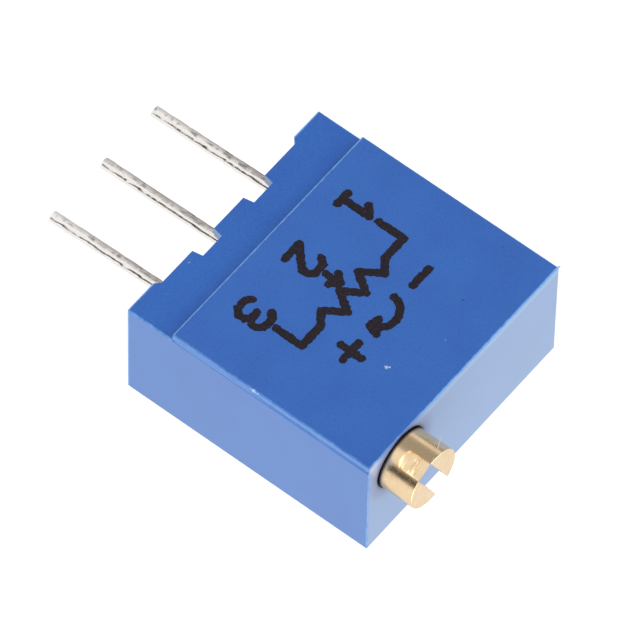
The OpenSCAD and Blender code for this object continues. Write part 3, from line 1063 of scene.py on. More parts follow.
@dataclass(frozen=True)
class Dipped(Finish):
    """A metal that was dipped or flowed, such as tin or solder."""

    dull: Rgb
    ripple_mm: float = 0.2
    ripple_depth: float = 0.01
    # The side shade is painted shade on one side of each pin.
    side_shade: Rgb | None = None
    side_shade_pitch: float = 2.54
    side_shade_way: Point2 = (-0.89, -0.45)
    side_shade_start: float = -0.01
    side_shade_reach: float = 0.2
    side_shade_shake: float = 0.12
    side_shade_share: float = 0.9
    dulling: float = 0.1

    def side_shaded(self, graph: Graph) -> Socket:
        """Gives the share of painted shade on one side of each pin.

        Args:
            graph: The material's tree.

        Returns:
            The share.
        """
        part = graph.parts(graph.place_mm())
        half = self.side_shade_pitch / 2
        across = graph.node("ShaderNodeMath", {0: part[0], 1: half, 2: -half}, operation="WRAP").outputs[0]
        leans = [graph.times(place, way) for place, way in zip((across, part[1]), self.side_shade_way)]
        noise = graph.math("SUBTRACT", graph.noise(graph.place_mm(), 3.0), 0.5)
        shaken = graph.math("ADD", graph.math("ADD", *leans), graph.times(noise, self.side_shade_shake))
        return graph.ramp(shaken, self.side_shade_start, self.side_shade_reach, 0.0, self.side_shade_share)

    def dress(self, graph: Graph, surface: bpy.types.Node, effects: Effects) -> None:
        """Feeds the colour and gloss from the ripple's crystals, with the painted shade on one side where it
        is given.

        Args:
            graph: The material's tree.
            surface: The surface shader.
            effects: The shared effects.
        """
        ripple = effects.ripple.place(graph, {"Size": self.ripple_mm})
        toned = graph.mix(ripple["Tone"], linear(self.colour), linear(self.dull))
        # Painted shade on one side of each pin.
        if self.side_shade:
            toned = graph.mix(self.side_shaded(graph), toned, linear(self.side_shade))
        graph.fill(surface, {
            "Base Color": toned,
            "Roughness": graph.ramp(ripple["Tone"], 0.0, 1.0, self.roughness, self.roughness + self.dulling),
            "Metallic": 1.0,
        })
        self.bump(graph, surface, ripple["Height"], self.ripple_depth)


@dataclass(frozen=True)
class Machined(Finish):
    """A turned or rolled metal, with the tool's lines in it."""

    dull: Rgb
    lay: Lay = Lay.ALONG_X
    axis_point: Point3 = (0.0, 0.0, 0.0)
    pitch_mm: float = 0.03
    depth_mm: float = 0.002
    grain_mm: float = 0.02
    tone_mm: float = 0.35
    grain_share: float = 0.3
    dulling: float = 0.09
    foot: PaintedShade | None = None

    def dress(self, graph: Graph, surface: bpy.types.Node, effects: Effects) -> None:
        """Feeds the colour and gloss from slow stains and any painted shade at the foot, and the height from
        the tool's lines.

        Args:
            graph: The material's tree.
            surface: The surface shader.
            effects: The shared effects.
        """
        turned = 1.0 if self.lay is Lay.ROUND_AXIS else 0.0
        given = {"Axis Point": self.axis_point, "Round": turned, "Pitch": self.pitch_mm}
        marks = effects.marks.place(graph, given)
        grain = effects.grain.place(graph, {"Size": self.grain_mm, "Tone Size": self.tone_mm})
        toned = graph.mix(marks["Tone"], linear(self.colour), linear(self.dull))
        # Painted shade at the foot of the piece, where it goes into the hole.
        if self.foot:
            toned = self.foot.over(graph, effects, toned)
        graph.fill(surface, {
            "Base Color": toned,
            "Roughness": graph.math("ADD", graph.times(marks["Tone"], self.dulling), self.roughness),
            "Metallic": 1.0,
        })
        height = graph.math("ADD", marks["Height"], graph.times(grain["Height"], self.grain_share))
        self.bump(graph, surface, height, self.depth_mm)


@dataclass
class Workshop:
    """Makes each finish's material once, and hands pieces their finish, body and slot."""

    effects: Effects
    made: dict[Slot, bpy.types.Material] = field(default_factory=dict)

    def learn(self, finishes: Iterable[Finish]) -> None:
        """Builds the materials of these finishes."""
        for finish in finishes:
            self.made[finish.slot] = finish.material(self.effects)

    def coat(self, piece: bpy.types.Object, slot: Slot) -> None:
        """Gives a piece the material of a slot.

        Args:
            piece: The piece.
            slot: The slot whose material it gets.
        """
        piece.data.materials.clear()
        piece.data.materials.append(self.made[slot])

    def dress_node(self, node: str, slot: Slot) -> None:
        """Gives a carried-over node its material."""
        self.coat(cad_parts[node], slot)
        log.info("%s keeps its solid, with the finish %s", node, slot.value)

    def mount(self, piece: bpy.types.Object, slot: Slot, body: Body, *stands_for: str) -> None:
        """Gives a new piece its finish and its body.

        Args:
            piece: The piece, in place.
            slot: The slot of its finish.
            body: The body that it rides on.
            stands_for: The nodes that it replaces.
        """
        self.coat(piece, slot)
        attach(piece, body.value)
        if stands_for:
            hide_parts(*stands_for)
        log.info("%s: %d faces, on %s", piece.name, len(piece.data.polygons), body.value)


@dataclass
class Housing:
    """The blue moulding, with the flash along its parting line and the nib at one corner."""

    face_inset: float = 0.03
    step_z: float = 1.76
    step_depth: float = 0.28
    parting_depth: float = 0.275
    flash_height: float = 0.006
    flash_width: float = 0.07
    flash_step: float = 0.05
    flash_least: float = 0.08
    flash_drift: float = 0.008
    end_margin: float = 0.12
    blend_reach: float = 0.16
    blend_run: float = 1.0
    blend_end_z: float = 5.6
    blend_patches: float = 0.45
    surface_depth: float = 0.03
    recess_margin: float = 0.02
    step_margin: float = 0.06
    notch_inset: float = 0.7
    notch_top_z: float = 0.6
    # The halo and mouth fields place painted shade on the end face round the screw's hole: a dark ring and a
    # softer violet halo.
    halo_shade_colour: Rgb = (88, 66, 168)
    halo_shade_share: float = 0.8
    above_head: float = 1.0
    mouth_gap: float = 0.06
    mouth_dark: float = 0.02
    mouth_fade: float = 0.07
    mouth_shade_halo: float = 0.5
    nib_length: float = 0.08
    nib_r: float = 0.035
    nib_point_r: float = 0.002
    nib_inset: float = 0.05
    nib_start: float = 0.04
    nib_way: Point3 = (-1.0, -0.55, 0.75)
    seed: int = 7
    blemishes: tuple[Blemish, ...] = (
        Blemish((1.51, -2.15, 7.63), 0.075, (205, 220, 240), 0.75),
        Blemish((1.44, -2.15, 7.71), 0.04, (225, 235, 248)),
        Blemish((-0.41, -2.15, 8.44), 0.05, (120, 165, 225), 0.5),
        Blemish((-1.91, -2.15, 7.96), 0.045, (30, 36, 60)),
        Blemish((-4.21, -2.15, 7.70), 0.04, (30, 36, 60)),
        Blemish((-0.73, -0.58, 9.53), 0.06, (40, 60, 120), 0.7),
        Blemish((-1.34, -1.69, 9.53), 0.06, (40, 60, 120), 0.6),
        Blemish((4.765, -2.08, 4.96), 0.11, (190, 212, 240), 0.85),
        Blemish((4.765, -2.1, 5.12), 0.07, (190, 212, 240), 0.7),
    )

    def finish(self) -> Moulded:
        """Gives the moulding's plastic, with the raised face's own edges paler from rubbed wear and a painted
        highlight.

        Returns:
            The finish.
        """
        low, high = corners_of("housing")
        (head_x, head_y, _), (head_far_x, head_far_y, head_top) = corners_of("adjustment_screw")
        mouth_r = (head_far_x - head_x) / 2 + self.mouth_gap
        axis_point = ((head_x + head_far_x) / 2, (head_y + head_far_y) / 2, 0.0)
        recess_y = low[1] + self.step_depth
        notch_y = recess_y + self.recess_margin
        end_z = high[2] - self.surface_depth
        mouth_levels = (end_z, head_top, head_top + self.above_head)
        dark_r = mouth_r + self.mouth_dark
        return Moulded(
            Slot.HOUSING,
            colour=(21, 98, 193),
            roughness=0.36,
            deep=(16, 91, 187),
            wear_and_highlight=(126, 187, 248),
            # These paler edge lines are rubbed wear with a painted highlight over it.
            rubs_and_highlights=(
                RubAndHighlight(low, high),
                RubAndHighlight((-FAR, low[1], self.step_z), (FAR, *high[1:]), width=0.1, back_limit=recess_y),
                RubAndHighlight((low[0] + self.face_inset, low[1], -FAR), (high[0] - self.face_inset, high[1], FAR),
                    width=0.075, share=0.6, back_limit=recess_y),
                RubAndHighlight((low[0], recess_y, low[2]), high, top_limit=self.step_z),
                RubAndHighlight((low[0], recess_y, low[2]), high, width=0.07, share=0.32),
            ),
            polishes=(
                Polish((-FAR, -FAR, end_z), (FAR, FAR, FAR), coat=1.0),
                Polish((-FAR, -FAR, -FAR), (FAR, notch_y, self.step_z + self.step_margin), coat=0.0),
                Polish((low[0] + self.notch_inset, notch_y, -FAR),
                       (high[0] - self.notch_inset, 0.0, self.notch_top_z), coat=1.0),
            ),
            # Painted shade: a softer halo round the hole, and a dark ring at its mouth.
            mouth=(
                PaintedShade(axis_point, mouth_r, mouth_r + self.mouth_shade_halo, *mouth_levels,
                      self.halo_shade_colour, self.halo_shade_share),
                PaintedShade(axis_point, dark_r, dark_r + self.mouth_fade, *mouth_levels),
            ),
            sheen=1.0,
            sheen_tint=(220, 251, 255),
            coat=0.25,
            blemishes=self.blemishes,
        )

    def flash(self, side: int) -> bpy.types.Object:
        """Builds the thin ragged ridge where the mould's halves met, on one side wall.

        Args:
            side: 1 for the wall at +X, -1 for the one at -X.

        Returns:
            The ridge.
        """
        low, high = box_mm("housing")
        wall_x = high[0] if side > 0 else low[0]
        line_y = low[1] + self.parting_depth
        wobble = Wobble(self.seed + side)
        half = self.flash_width / 2
        levels = np.arange(self.step_z + self.end_margin, high[2] - self.end_margin, self.flash_step)
        rings = []
        for z in levels:
            ragged = 0.55 + 0.45 * wobble.value(z * 5.3) + 0.25 * wobble.value(z * 13.0, 9.5)
            tall = self.flash_height * max(self.flash_least, ragged)
            shift = self.flash_drift * wobble.value(z * 1.3, 4.5)
            whole = 1 - ease(z, self.blend_end_z - self.blend_run, self.blend_end_z)
            patchy = 0.5 + 0.5 * wobble.value(z * 2.1, 20.5)
            reach = half + self.blend_reach * max(whole, self.blend_patches * patchy)
            rings.append(np.array([
                (wall_x - side * half, line_y + shift - reach, z),
                (wall_x + side * tall, line_y + shift, z),
                (wall_x - side * half, line_y + shift + half, z),
            ]))
        name = "parting_flash_right" if side > 0 else "parting_flash_left"
        return skin(name, rings, crease_deg=50)

    def nib(self) -> bpy.types.Object:
        """Builds the sharp nib left at the corner where the raised face, far side and screw end meet.

        Returns:
            The nib.
        """
        low, high = corners_of("housing")
        inset = self.nib_inset
        root = np.array((low[0] + inset, low[1] + inset, high[2] - inset))
        way = np.array(self.nib_way)
        way /= np.linalg.norm(way)
        side = np.cross(way, (0.0, 0.0, 1.0))
        side /= np.linalg.norm(side)
        other = np.cross(way, side)
        rings = []
        for share in (0.0, 0.35, 0.7, 1.0):
            radius = self.nib_r * (1 - share) ** 0.8 + self.nib_point_r
            centre = root + way * (self.nib_start + self.nib_length * share)
            rings.append(ring_across(centre, side, other, radius, steps=10))
        return skin("corner_nib", rings, crease_deg=60)

    def build(self, shop: Workshop) -> None:
        """Dresses the moulding and adds its flash and its nib.

        Args:
            shop: The workshop.
        """
        shop.dress_node("housing", Slot.HOUSING)
        for piece in (self.flash(1), self.flash(-1), self.nib()):
            shop.mount(piece, Slot.HOUSING, Body.BODY)


@dataclass
class Marking:
    """Stamped marks on the raised face: the pin-out with its terminal numbers, and the turning sense."""

    stroke: float = 0.28
    cell: float = 0.03
    thickness: float = 0.012
    sunk: float = 0.004
    ragged: float = 0.036
    ragged_rate: float = 9.5
    ragged_share: float = 0.6
    digit_w: float = 1.0
    digit_h: float = 1.35
    number_z: float = 2.58
    terminal_x: tuple[float, float, float] = (-2.54, 0.0, 2.54)
    track_z: float = 5.12
    track_half: float = 1.6
    zigzag: float = 0.34
    teeth: int = 6
    lead_gap: float = 0.2
    arrow_gap: float = 0.5
    arrow_half: float = 0.24
    arrow_length: float = 0.28
    wiper_drop: float = 0.08
    sign_z: float = 6.42
    sign_x: float = 1.75
    sign_half: float = 0.4
    turn_r: float = 0.66
    turn_drop: float = 0.28
    turn_lean_deg: float = 25.0
    arc_start: float = 0.3
    arc_end: float = 0.2
    arc_points: int = 15
    inner_barb: Point2 = (-0.34, 0.06)
    outer_barb: Point2 = (0.12, 0.36)
    seed: int = 21

    DIGITS: ClassVar[dict[int, list[list[Point2]]]] = {
        1: [[(0.12, 0.74), (0.55, 1.0), (0.55, 0.0)], [(0.2, 0.0), (0.9, 0.0)]],
        2: [[(0.0, 0.8), (0.22, 1.0), (0.78, 1.0), (1.0, 0.8), (1.0, 0.62), (0.0, 0.0), (1.0, 0.0)]],
        3: [
            [(0.0, 0.86), (0.2, 1.0), (0.78, 1.0), (1.0, 0.84), (1.0, 0.66), (0.78, 0.52), (0.4, 0.52)],
            [(0.78, 0.52), (1.0, 0.36), (1.0, 0.17), (0.78, 0.0), (0.2, 0.0), (0.0, 0.14)],
        ],
    }

    def number(self, digit: int, centre_x: float) -> list[list[Point2]]:
        """Gives the middle lines of a digit's strokes.

        Args:
            digit: The digit.
            centre_x: Where its middle stands.

        Returns:
            One list of points for each stroke, in X and Z.
        """
        wide, tall = self.digit_w - self.stroke, self.digit_h - self.stroke
        left, foot = centre_x - wide / 2, self.number_z + self.stroke / 2
        return [[(left + u * wide, foot + v * tall) for u, v in line] for line in self.DIGITS[digit]]

    def pin_out(self) -> list[list[Point2]]:
        """Gives the strokes of the potentiometer's drawing: a zigzag with its leads, and the wiper.

        Returns:
            One list of points for each stroke, in X and Z.
        """
        left, middle, right = self.terminal_x
        step = 2 * self.track_half / (self.teeth + 1)
        start = middle - self.track_half
        peaks = [
            (start + (i + 1) * step, self.track_z + self.zigzag * (1 if i % 2 == 0 else -1))
            for i in range(self.teeth)
        ]
        lead_low = self.number_z + self.digit_h + self.lead_gap
        track = [(left, lead_low), (left, self.track_z), (start, self.track_z), *peaks,
                 (middle + self.track_half, self.track_z), (right, self.track_z), (right, lead_low)]
        tip = self.track_z - self.arrow_gap
        back, half = tip - self.arrow_length, self.arrow_half
        arrow = [[(middle, lead_low - self.wiper_drop), (middle, tip)],
                 [(middle - half, back), (middle, tip), (middle + half, back)]]
        return [track, *arrow]

    def turning(self) -> list[list[Point2]]:
        """Gives the strokes of the turning sense: an arc with an arrow head, between minus and plus.

        Returns:
            One list of points for each stroke, in X and Z.
        """
        reach, lean = self.turn_r, math.radians(self.turn_lean_deg)
        arc = [
            (reach * math.cos(a), self.sign_z - self.turn_drop + reach * math.sin(a))
            for a in np.linspace(math.pi - lean + self.arc_start, lean - self.arc_end, self.arc_points)
        ]
        end = arc[-1]
        head = [(end[0] + x, end[1] + z) for x, z in (self.inner_barb, (0.0, 0.0), self.outer_barb)]
        size = self.sign_half
        minus = [(-self.sign_x - size, self.sign_z), (-self.sign_x + size, self.sign_z)]
        plus = [(self.sign_x - size, self.sign_z), (self.sign_x + size, self.sign_z)]
        upright = [(self.sign_x, self.sign_z - size), (self.sign_x, self.sign_z + size)]
        return [arc, head, minus, plus, upright]

    def distance(self, lines: list[list[Point2]], x: np.ndarray, z: np.ndarray) -> np.ndarray:
        """Measures how far each grid point lies from the nearest stroke's middle line.

        Args:
            lines: The middle lines.
            x: X of the grid points.
            z: Z of the grid points.

        Returns:
            The distances, of the grid's shape.
        """
        best = np.full(x.shape, 1e3)
        for line in lines:
            for (x0, z0), (x1, z1) in zip(line, line[1:]):
                run = np.array([x1 - x0, z1 - z0])
                share = np.clip(((x - x0) * run[0] + (z - z0) * run[1]) / (run @ run), 0, 1)
                best = np.minimum(best, np.hypot(x - x0 - share * run[0], z - z0 - share * run[1]))
        return best

    def stamp(self, name: str, lines: list[list[Point2]]) -> bpy.types.Object:
        """Builds one ragged-edged film of ink on the face.

        Args:
            name: Name of the piece.
            lines: Middle lines of its strokes.

        Returns:
            The film, a closed mesh that stands a little proud of the face and reaches a little into it.
        """
        points = np.array([p for line in lines for p in line])
        low, high = points.min(0) - self.stroke, points.max(0) + self.stroke
        xs = np.arange(low[0], high[0], self.cell)
        zs = np.arange(low[1], high[1], self.cell)
        x, z = np.meshgrid(xs, zs, indexing="ij")
        wobble = Wobble(self.seed)
        u, v = x * self.ragged_rate, z * self.ragged_rate
        rough = wobble.at(u, v) * self.ragged_share + wobble.at(2 * u + 7, 2 * v) * self.ragged_share
        depth = self.stroke / 2 + self.ragged * rough - self.distance(lines, x, z)
        face_y = float(box_mm("housing")[0][1])
        return film_piece(name, xs, zs, depth, face_y, self.thickness, self.sunk)

    def build(self, shop: Workshop) -> None:
        """Stamps the three marks.

        Args:
            shop: The workshop.
        """
        numbers = [line for i, x in enumerate(self.terminal_x) for line in self.number(i + 1, x)]
        for name, lines in (
            ("terminal_numbers", numbers),
            ("pin_out_drawing", self.pin_out()),
            ("turning_sense", self.turning()),
        ):
            shop.mount(self.stamp(name, lines), Slot.INK, Body.BODY)


def film_piece(
    name: str, xs: np.ndarray, zs: np.ndarray, depth: np.ndarray, face_y: float, thick: float, sunk: float
) -> bpy.types.Object:
    """Builds a thin closed film on a face that looks towards -Y, where a field is above zero.

    Args:
        name: Name of the piece.
        xs: X of the grid's columns.
        zs: Z of the grid's rows.
        depth: The field, as the distance in from the film's edge.
        face_y: The face's plane.
        thick: Height of the film's middle above the face.
        sunk: How far the film's back lies behind the face.

    Returns:
        The film.
    """
    inside = depth > 0
    index: dict[tuple[int, int, int], int] = {}
    places: list[Point3] = []

    def corner(i: int, j: int) -> int:
        """Numbers a grid point inside the film.

        Args:
            i: Its column.
            j: Its row.

        Returns:
            Its number.
        """
        key = (i, j, 0)
        if key not in index:
            index[key] = len(places)
            places.append((float(xs[i]), float(zs[j]), float(depth[i, j])))
        return index[key]

    def crossing(i0: int, j0: int, i1: int, j1: int) -> int:
        """Numbers the point where the film's edge crosses a grid line.

        Args:
            i0: Column of one end of the line.
            j0: Row of that end.
            i1: Column of the other end.
            j1: Row of that end.

        Returns:
            The point's number.
        """
        (a, b), (c, d) = sorted([(i0, j0), (i1, j1)])
        key = (a, b, 1 if c > a else 2)
        if key not in index:
            share = float(np.clip(depth[a, b] / (depth[a, b] - depth[c, d]), 0.05, 0.95))
            x, z = xs[a] + (xs[c] - xs[a]) * share, zs[b] + (zs[d] - zs[b]) * share
            index[key] = len(places)
            places.append((float(x), float(z), 0.0))
        return index[key]

    cells: list[list[int]] = []
    touched = inside[:-1, :-1] | inside[1:, :-1] | inside[:-1, 1:] | inside[1:, 1:]
    for i, j in zip(*np.nonzero(touched)):
        ring = [(i, j), (i + 1, j), (i + 1, j + 1), (i, j + 1)]
        cell = []
        for k in range(4):
            here, ahead = ring[k], ring[(k + 1) % 4]
            if inside[here]:
                cell.append(corner(*here))
            if inside[here] != inside[ahead]:
                cell.append(crossing(*here, *ahead))
        if len(cell) > 2:
            cells.append(cell)
    return film_shell(cells, places, face_y, thick, sunk).object(name)


def film_shell(
    cells: list[list[int]], places: list[Point3], face_y: float, thick: float, sunk: float
) -> Shell:
    """Closes a film's outline cells into a solid with a domed front.

    Args:
        cells: The cells, each a ring of numbers of points.
        places: X, Z and the distance in from the edge of each point.
        face_y: The face's plane.
        thick: Height of the film's middle above the face.
        sunk: How far the film's back lies behind the face.

    Returns:
        The closed shell.
    """
    count = len(places)
    front = [(x, face_y - thick * ease(d, *FILM_EDGE), z) for x, z, d in places]
    back = [(x, face_y + sunk, z) for x, z, _ in places]
    edges: dict[tuple[int, int], int] = {}
    for cell in cells:
        for a, b in zip(cell, cell[1:] + cell[:1]):
            edges[(a, b)] = edges.get((a, b), 0) + 1
    rim = [(a, b) for a, b in edges if (b, a) not in edges]
    shell = Shell()
    shell.add(
        front + back,
        [*cells, *[[count + i for i in reversed(cell)] for cell in cells],
         *[(b, a, count + a, count + b) for a, b in rim]],
    )
    return shell


@dataclass
class Pins:
    """Three tinned pins, each a little bent and unevenly tinned, with a cropped end."""

    names: tuple[str, str, str] = ("pin_1", "pin_2", "pin_3")
    pin_r: float = 0.2
    press_z: float = 0.70
    press_run: float = 0.06
    blade_half_w: float = 0.23
    blade_back_y: float = -0.072
    steps: int = 36
    ring_gap: float = 0.03
    uneven: float = 0.009
    crop: float = 0.035
    crop_loss: float = 0.14
    wave_r: float = 1.6
    wave_rate: float = 3.1
    fine_r: float = 3.0
    fine_rate: float = 7.7
    fine_share: float = 0.4
    bow: tuple[Point2, Point2, Point2] = ((0.035, 0.08), (0.02, 0.06), (0.03, 0.09))
    bow_power: float = 1.2
    seed: int = 40

    def section(self, angle: np.ndarray, flat: float) -> tuple[np.ndarray, np.ndarray]:
        """Gives a ring that goes from the round wire to the pressed blade.

        Args:
            angle: Angle of each point.
            flat: 0 for the wire and 1 for the blade.

        Returns:
            X and Y of the points.
        """
        x, y = self.pin_r * np.cos(angle), self.pin_r * np.sin(angle)
        square = np.maximum(np.abs(np.cos(angle)), np.abs(np.sin(angle)))
        half_t = (self.pin_r - self.blade_back_y) / 2
        blade_x = self.blade_half_w * np.cos(angle) / square
        blade_y = (self.pin_r + self.blade_back_y) / 2 + half_t * np.sin(angle) / square
        return x + (blade_x - x) * flat, y + (blade_y - y) * flat

    def pin(self, number: int) -> bpy.types.Object:
        """Builds one pin from its blade down to its cropped end.

        Args:
            number: 0 to 2, from -X to +X.

        Returns:
            The pin.
        """
        node = self.names[number]
        low, high = box_mm(node)
        centre_x = float(low[0] + high[0]) / 2
        wobble = Wobble(self.seed + number)
        angle = np.arange(self.steps) * TURN / self.steps
        levels = np.concatenate([[high[2], high[2] - 0.02],
                                 np.linspace(high[2] - 0.1, self.press_z + self.press_run, 12),
                                 np.arange(self.press_z, low[2] + self.crop, -self.ring_gap),
                                 np.linspace(low[2] + self.crop, low[2], 5)])
        cos, sin = np.cos(angle), np.sin(angle)
        lean = self.bow[number]
        rings = []
        for z in levels:
            flat = ease(z, self.press_z - self.press_run / 2, self.press_z + self.press_run / 2)
            x, y = self.section(angle, flat)
            below = float(np.clip(-z, 0, None) / -low[2])
            # Noise that is read on a circle meets itself again round the pin.
            wave = wobble.at(cos * self.wave_r + 8, z * self.wave_rate + sin * self.wave_r + 20)
            fine = wobble.at(cos * self.fine_r + 30, z * self.fine_rate + sin * self.fine_r)
            swell = 1 + (1 - flat) * (self.uneven * wave + self.fine_share * self.uneven * fine) / self.pin_r
            crop = float(np.clip((z - low[2]) / self.crop, 0, 1))
            nip = 1 - self.crop_loss * (1 - math.sqrt(max(0.0, 1 - (1 - crop) ** 2)))
            rings.append(np.stack([
                centre_x + x * swell * nip + lean[0] * below ** self.bow_power,
                y * swell * nip + lean[1] * below ** self.bow_power,
                np.full(self.steps, float(z)),
            ], axis=1))
        return skin(f"{node}_wire", rings, crease_deg=40)

    def build(self, shop: Workshop) -> None:
        """Builds the three pins."""
        for number, node in enumerate(self.names):
            shop.mount(self.pin(number), Slot.WIRE, Body.BODY, node)


@dataclass
class AdjustmentScrew:
    """The turned brass screw: slotted head, seal groove, journal, worm and pilot."""

    steps: int = 96
    head_edge: float = 0.035
    slot_w: float = 0.66
    slot_depth: float = 0.75
    slot_turn_deg: float = 116.0
    slot_corner: float = 0.05
    slot_break: float = 0.03
    lip_drop: float = 0.17
    lip_run: float = 0.5
    burr: float = 0.014
    ridges: tuple[Point3, ...] = (
        (-0.42, 0.1, 0.035), (-0.16, 0.1, 0.028), (0.06, 0.12, 0.03), (0.34, 0.08, 0.035)
    )
    ridge_skew: float = 0.12
    ridge_wander: float = 0.05
    feed_mark: float = 0.045
    feed_step: float = 0.04
    cut_wander: float = 0.008
    cut_steps: int = 160
    cut_reach: float = 1.3
    cut_rise: float = 0.3
    floor_run: float = 0.35
    lip_hollow: float = 0.75
    # The foot fields place painted shade on the head just above the housing's mouth.
    foot_radii: Point2 = (10.0, 11.0)
    foot_depth: float = 1.0
    foot_dark: float = 0.055
    foot_fade: float = 0.075
    foot_shade_colour: Rgb = (52, 42, 62)
    pilot_r: float = 0.35
    root_r: float = 0.37
    neck_r: float = 0.45
    journal_r: float = 0.84
    groove_r: float = 0.5
    seal_core_r: float = 0.695
    worm_tip_r: float = 0.82
    pilot_top_z: float = 2.26
    worm_top_z: float = 6.714
    journal_low_z: float = 7.36
    groove_low_z: float = 7.62
    groove_top_z: float = 8.0
    shoulder_z: float = 8.28
    seal_low_z: float = 8.53
    seal_top_z: float = 9.03
    wheel_z: float = 5.2
    pitch: float = 0.6283
    worm_turns: float = 3.82
    tip_half: float = 0.0643
    root_half: float = 0.2281
    fade_turns: float = 0.3
    worm_gap: float = 0.014
    chamfer: float = 0.02
    pilot_edge: float = 0.05
    pip_depth: float = 0.004
    pip_r: float = 0.06
    seed: int = 61

    def thread(self, z: float) -> np.ndarray:
        """Gives the worm's radius round the axis at one height.

        Args:
            z: The height.

        Returns:
            The radius at each step round the axis.
        """
        share = np.arange(self.steps) / self.steps
        turn = share + np.round((z - self.wheel_z) / self.pitch - share)
        off = np.abs(z - self.wheel_z - self.pitch * turn)
        crest = np.clip((self.root_half - off) / (self.root_half - self.tip_half), 0, 1)
        fade = np.clip((self.worm_turns / 2 - np.abs(turn)) / self.fade_turns, 0, 1)
        return self.root_r + (self.worm_tip_r - self.root_r) * crest * fade

    def profile(self, bottom_z: float, top_z: float, head_r: float) -> list[tuple[float, Any]]:
        """Lists the screw's rings from its pilot to its head.

        Args:
            bottom_z: The pilot's end.
            top_z: The head's end.
            head_r: The head's radius.

        Returns:
            The height and the radius, or radii, of each ring.
        """
        edge, pilot_edge = self.chamfer, self.pilot_edge
        rings: list[tuple[float, Any]] = [
            (bottom_z, self.pilot_r - pilot_edge), (bottom_z + pilot_edge, self.pilot_r),
            (self.pilot_top_z, self.pilot_r), (self.pilot_top_z + edge, self.root_r),
        ]
        rings += [(float(z), self.thread(float(z)))
                  for z in np.arange(self.pilot_top_z + 0.1, self.worm_top_z, self.worm_gap)]
        rings += [
            (self.worm_top_z, self.neck_r), (self.journal_low_z, self.neck_r),
            (self.journal_low_z, self.journal_r - edge), (self.journal_low_z + edge, self.journal_r),
            (self.groove_low_z, self.journal_r), (self.groove_low_z, self.groove_r),
            (self.groove_top_z, self.groove_r), (self.groove_top_z, self.journal_r),
            (self.shoulder_z, self.journal_r), (self.shoulder_z, head_r - edge),
            (self.shoulder_z + edge, head_r), (self.seal_low_z, head_r),
            (self.seal_low_z, self.seal_core_r), (self.seal_top_z, self.seal_core_r),
            (self.seal_top_z, head_r), (top_z - self.head_edge * 1.1, head_r),
        ]
        for i in range(1, 6):
            bend = i / 5 * math.pi / 2
            rings.append((top_z - self.head_edge * (1 - math.sin(bend)),
                          head_r - self.head_edge * (1 - math.cos(bend))))
        rings += [(top_z, head_r * share) for share in (0.75, 0.5, 0.25)]
        rings.append((top_z - self.pip_depth, self.pip_r))
        return rings

    def cutter(self, centre: Sequence[float], top_z: float, head_r: float) -> bpy.types.Object:
        """Builds the slitting cutter's path, whose floor keeps its feed marks.

        Args:
            centre: X and Y of the screw's axis.
            top_z: The head's end.
            head_r: The head's radius.

        Returns:
            The object to be taken out of the head.
        """
        half, floor = self.slot_w / 2, top_z - self.slot_depth
        bend = self.slot_corner
        arc = [(half - bend + bend * math.cos(a), floor + bend - bend * math.sin(a))
               for a in np.linspace(0, math.pi / 2, 4)]
        side = [(half + self.slot_break, top_z + self.cut_rise), (half + self.slot_break, top_z + 0.005),
                (half, top_z - self.slot_break), *arc, (0.55 * half, floor), (0.25 * half, floor)]
        outline = np.array(side + [(-u, z) for u, z in reversed(side)])
        along = Matrix.Rotation(math.radians(self.slot_turn_deg), 2)
        wobble = Wobble(self.seed)
        rings = []
        end = head_r * self.cut_reach
        for t in np.linspace(-end, end, self.cut_steps):
            feed = self.feed_mark * wobble.value(t * 5.5) + self.feed_step * abs(wobble.value(t * 12, 3.5))
            lip = self.lip_drop * ease(-t, head_r - self.lip_run, head_r) ** 2
            shake = self.cut_wander * wobble.value(t * 4, 11.5) + self.burr * wobble.value(t * 19, 15.5)
            ring = []
            for u, z in outline:
                low = ease(z, top_z - self.floor_run, floor + 0.03)
                x, y = along @ Vector((t, u + shake))
                sag = lip * (1 - self.lip_hollow * (u / half) ** 2)
                skew = t + self.ridge_skew * u + self.ridge_wander * wobble.value(u * 7, 30.5)
                left = sum(tall * math.exp(-((skew - at) / wide) ** 2) for at, tall, wide in self.ridges)
                left *= 0.55 + 0.45 * wobble.value(u * 5 + t * 3, 24.5)
                ring.append((centre[0] + x, centre[1] + y, z + (feed + left - sag) * low))
            rings.append(np.array(ring))
        shell = Shell()
        shell.add_rings(rings)
        return shell.object("slot_cutter")

    def finish(self) -> Machined:
        """Gives the brass, with its turning marks round the screw's axis and a painted shade at its foot.

        Returns:
            The finish.
        """
        low, high = box_mm("adjustment_screw")
        middle = (low + high) / 2
        mouth_z = float(box_mm("housing")[1][2])
        dark_top_z = mouth_z + self.foot_dark
        axis_point = (float(middle[0]), float(middle[1]), 0.0)
        return Machined(
            Slot.BRASS,
            colour=(242, 216, 178),
            roughness=0.21,
            dull=(236, 205, 160),
            lay=Lay.ROUND_AXIS,
            axis_point=axis_point,
            pitch_mm=0.05,
            depth_mm=0.003,
            # Painted shade round the head's foot, above the housing's mouth.
            foot=PaintedShade(axis_point, *self.foot_radii, mouth_z - self.foot_depth, dark_top_z,
                       dark_top_z + self.foot_fade, self.foot_shade_colour),
        )

    def build(self, shop: Workshop) -> None:
        """Turns the screw and cuts its slot.

        Args:
            shop: The workshop.
        """
        low, high = box_mm("adjustment_screw")
        centre = (low + high) / 2
        head_r = float(high[0] - low[0]) / 2
        shell = Shell()
        shell.add_rings([circle_at((centre[0], centre[1], z), r, self.steps)
                         for z, r in self.profile(float(low[2]), float(high[2]), head_r)])
        piece = shell.object("screw_turned")
        carve(piece, self.cutter(centre, float(high[2]), head_r))
        shade(piece, crease_deg=32)
        shop.mount(piece, Slot.BRASS, Body.SCREW, "adjustment_screw")


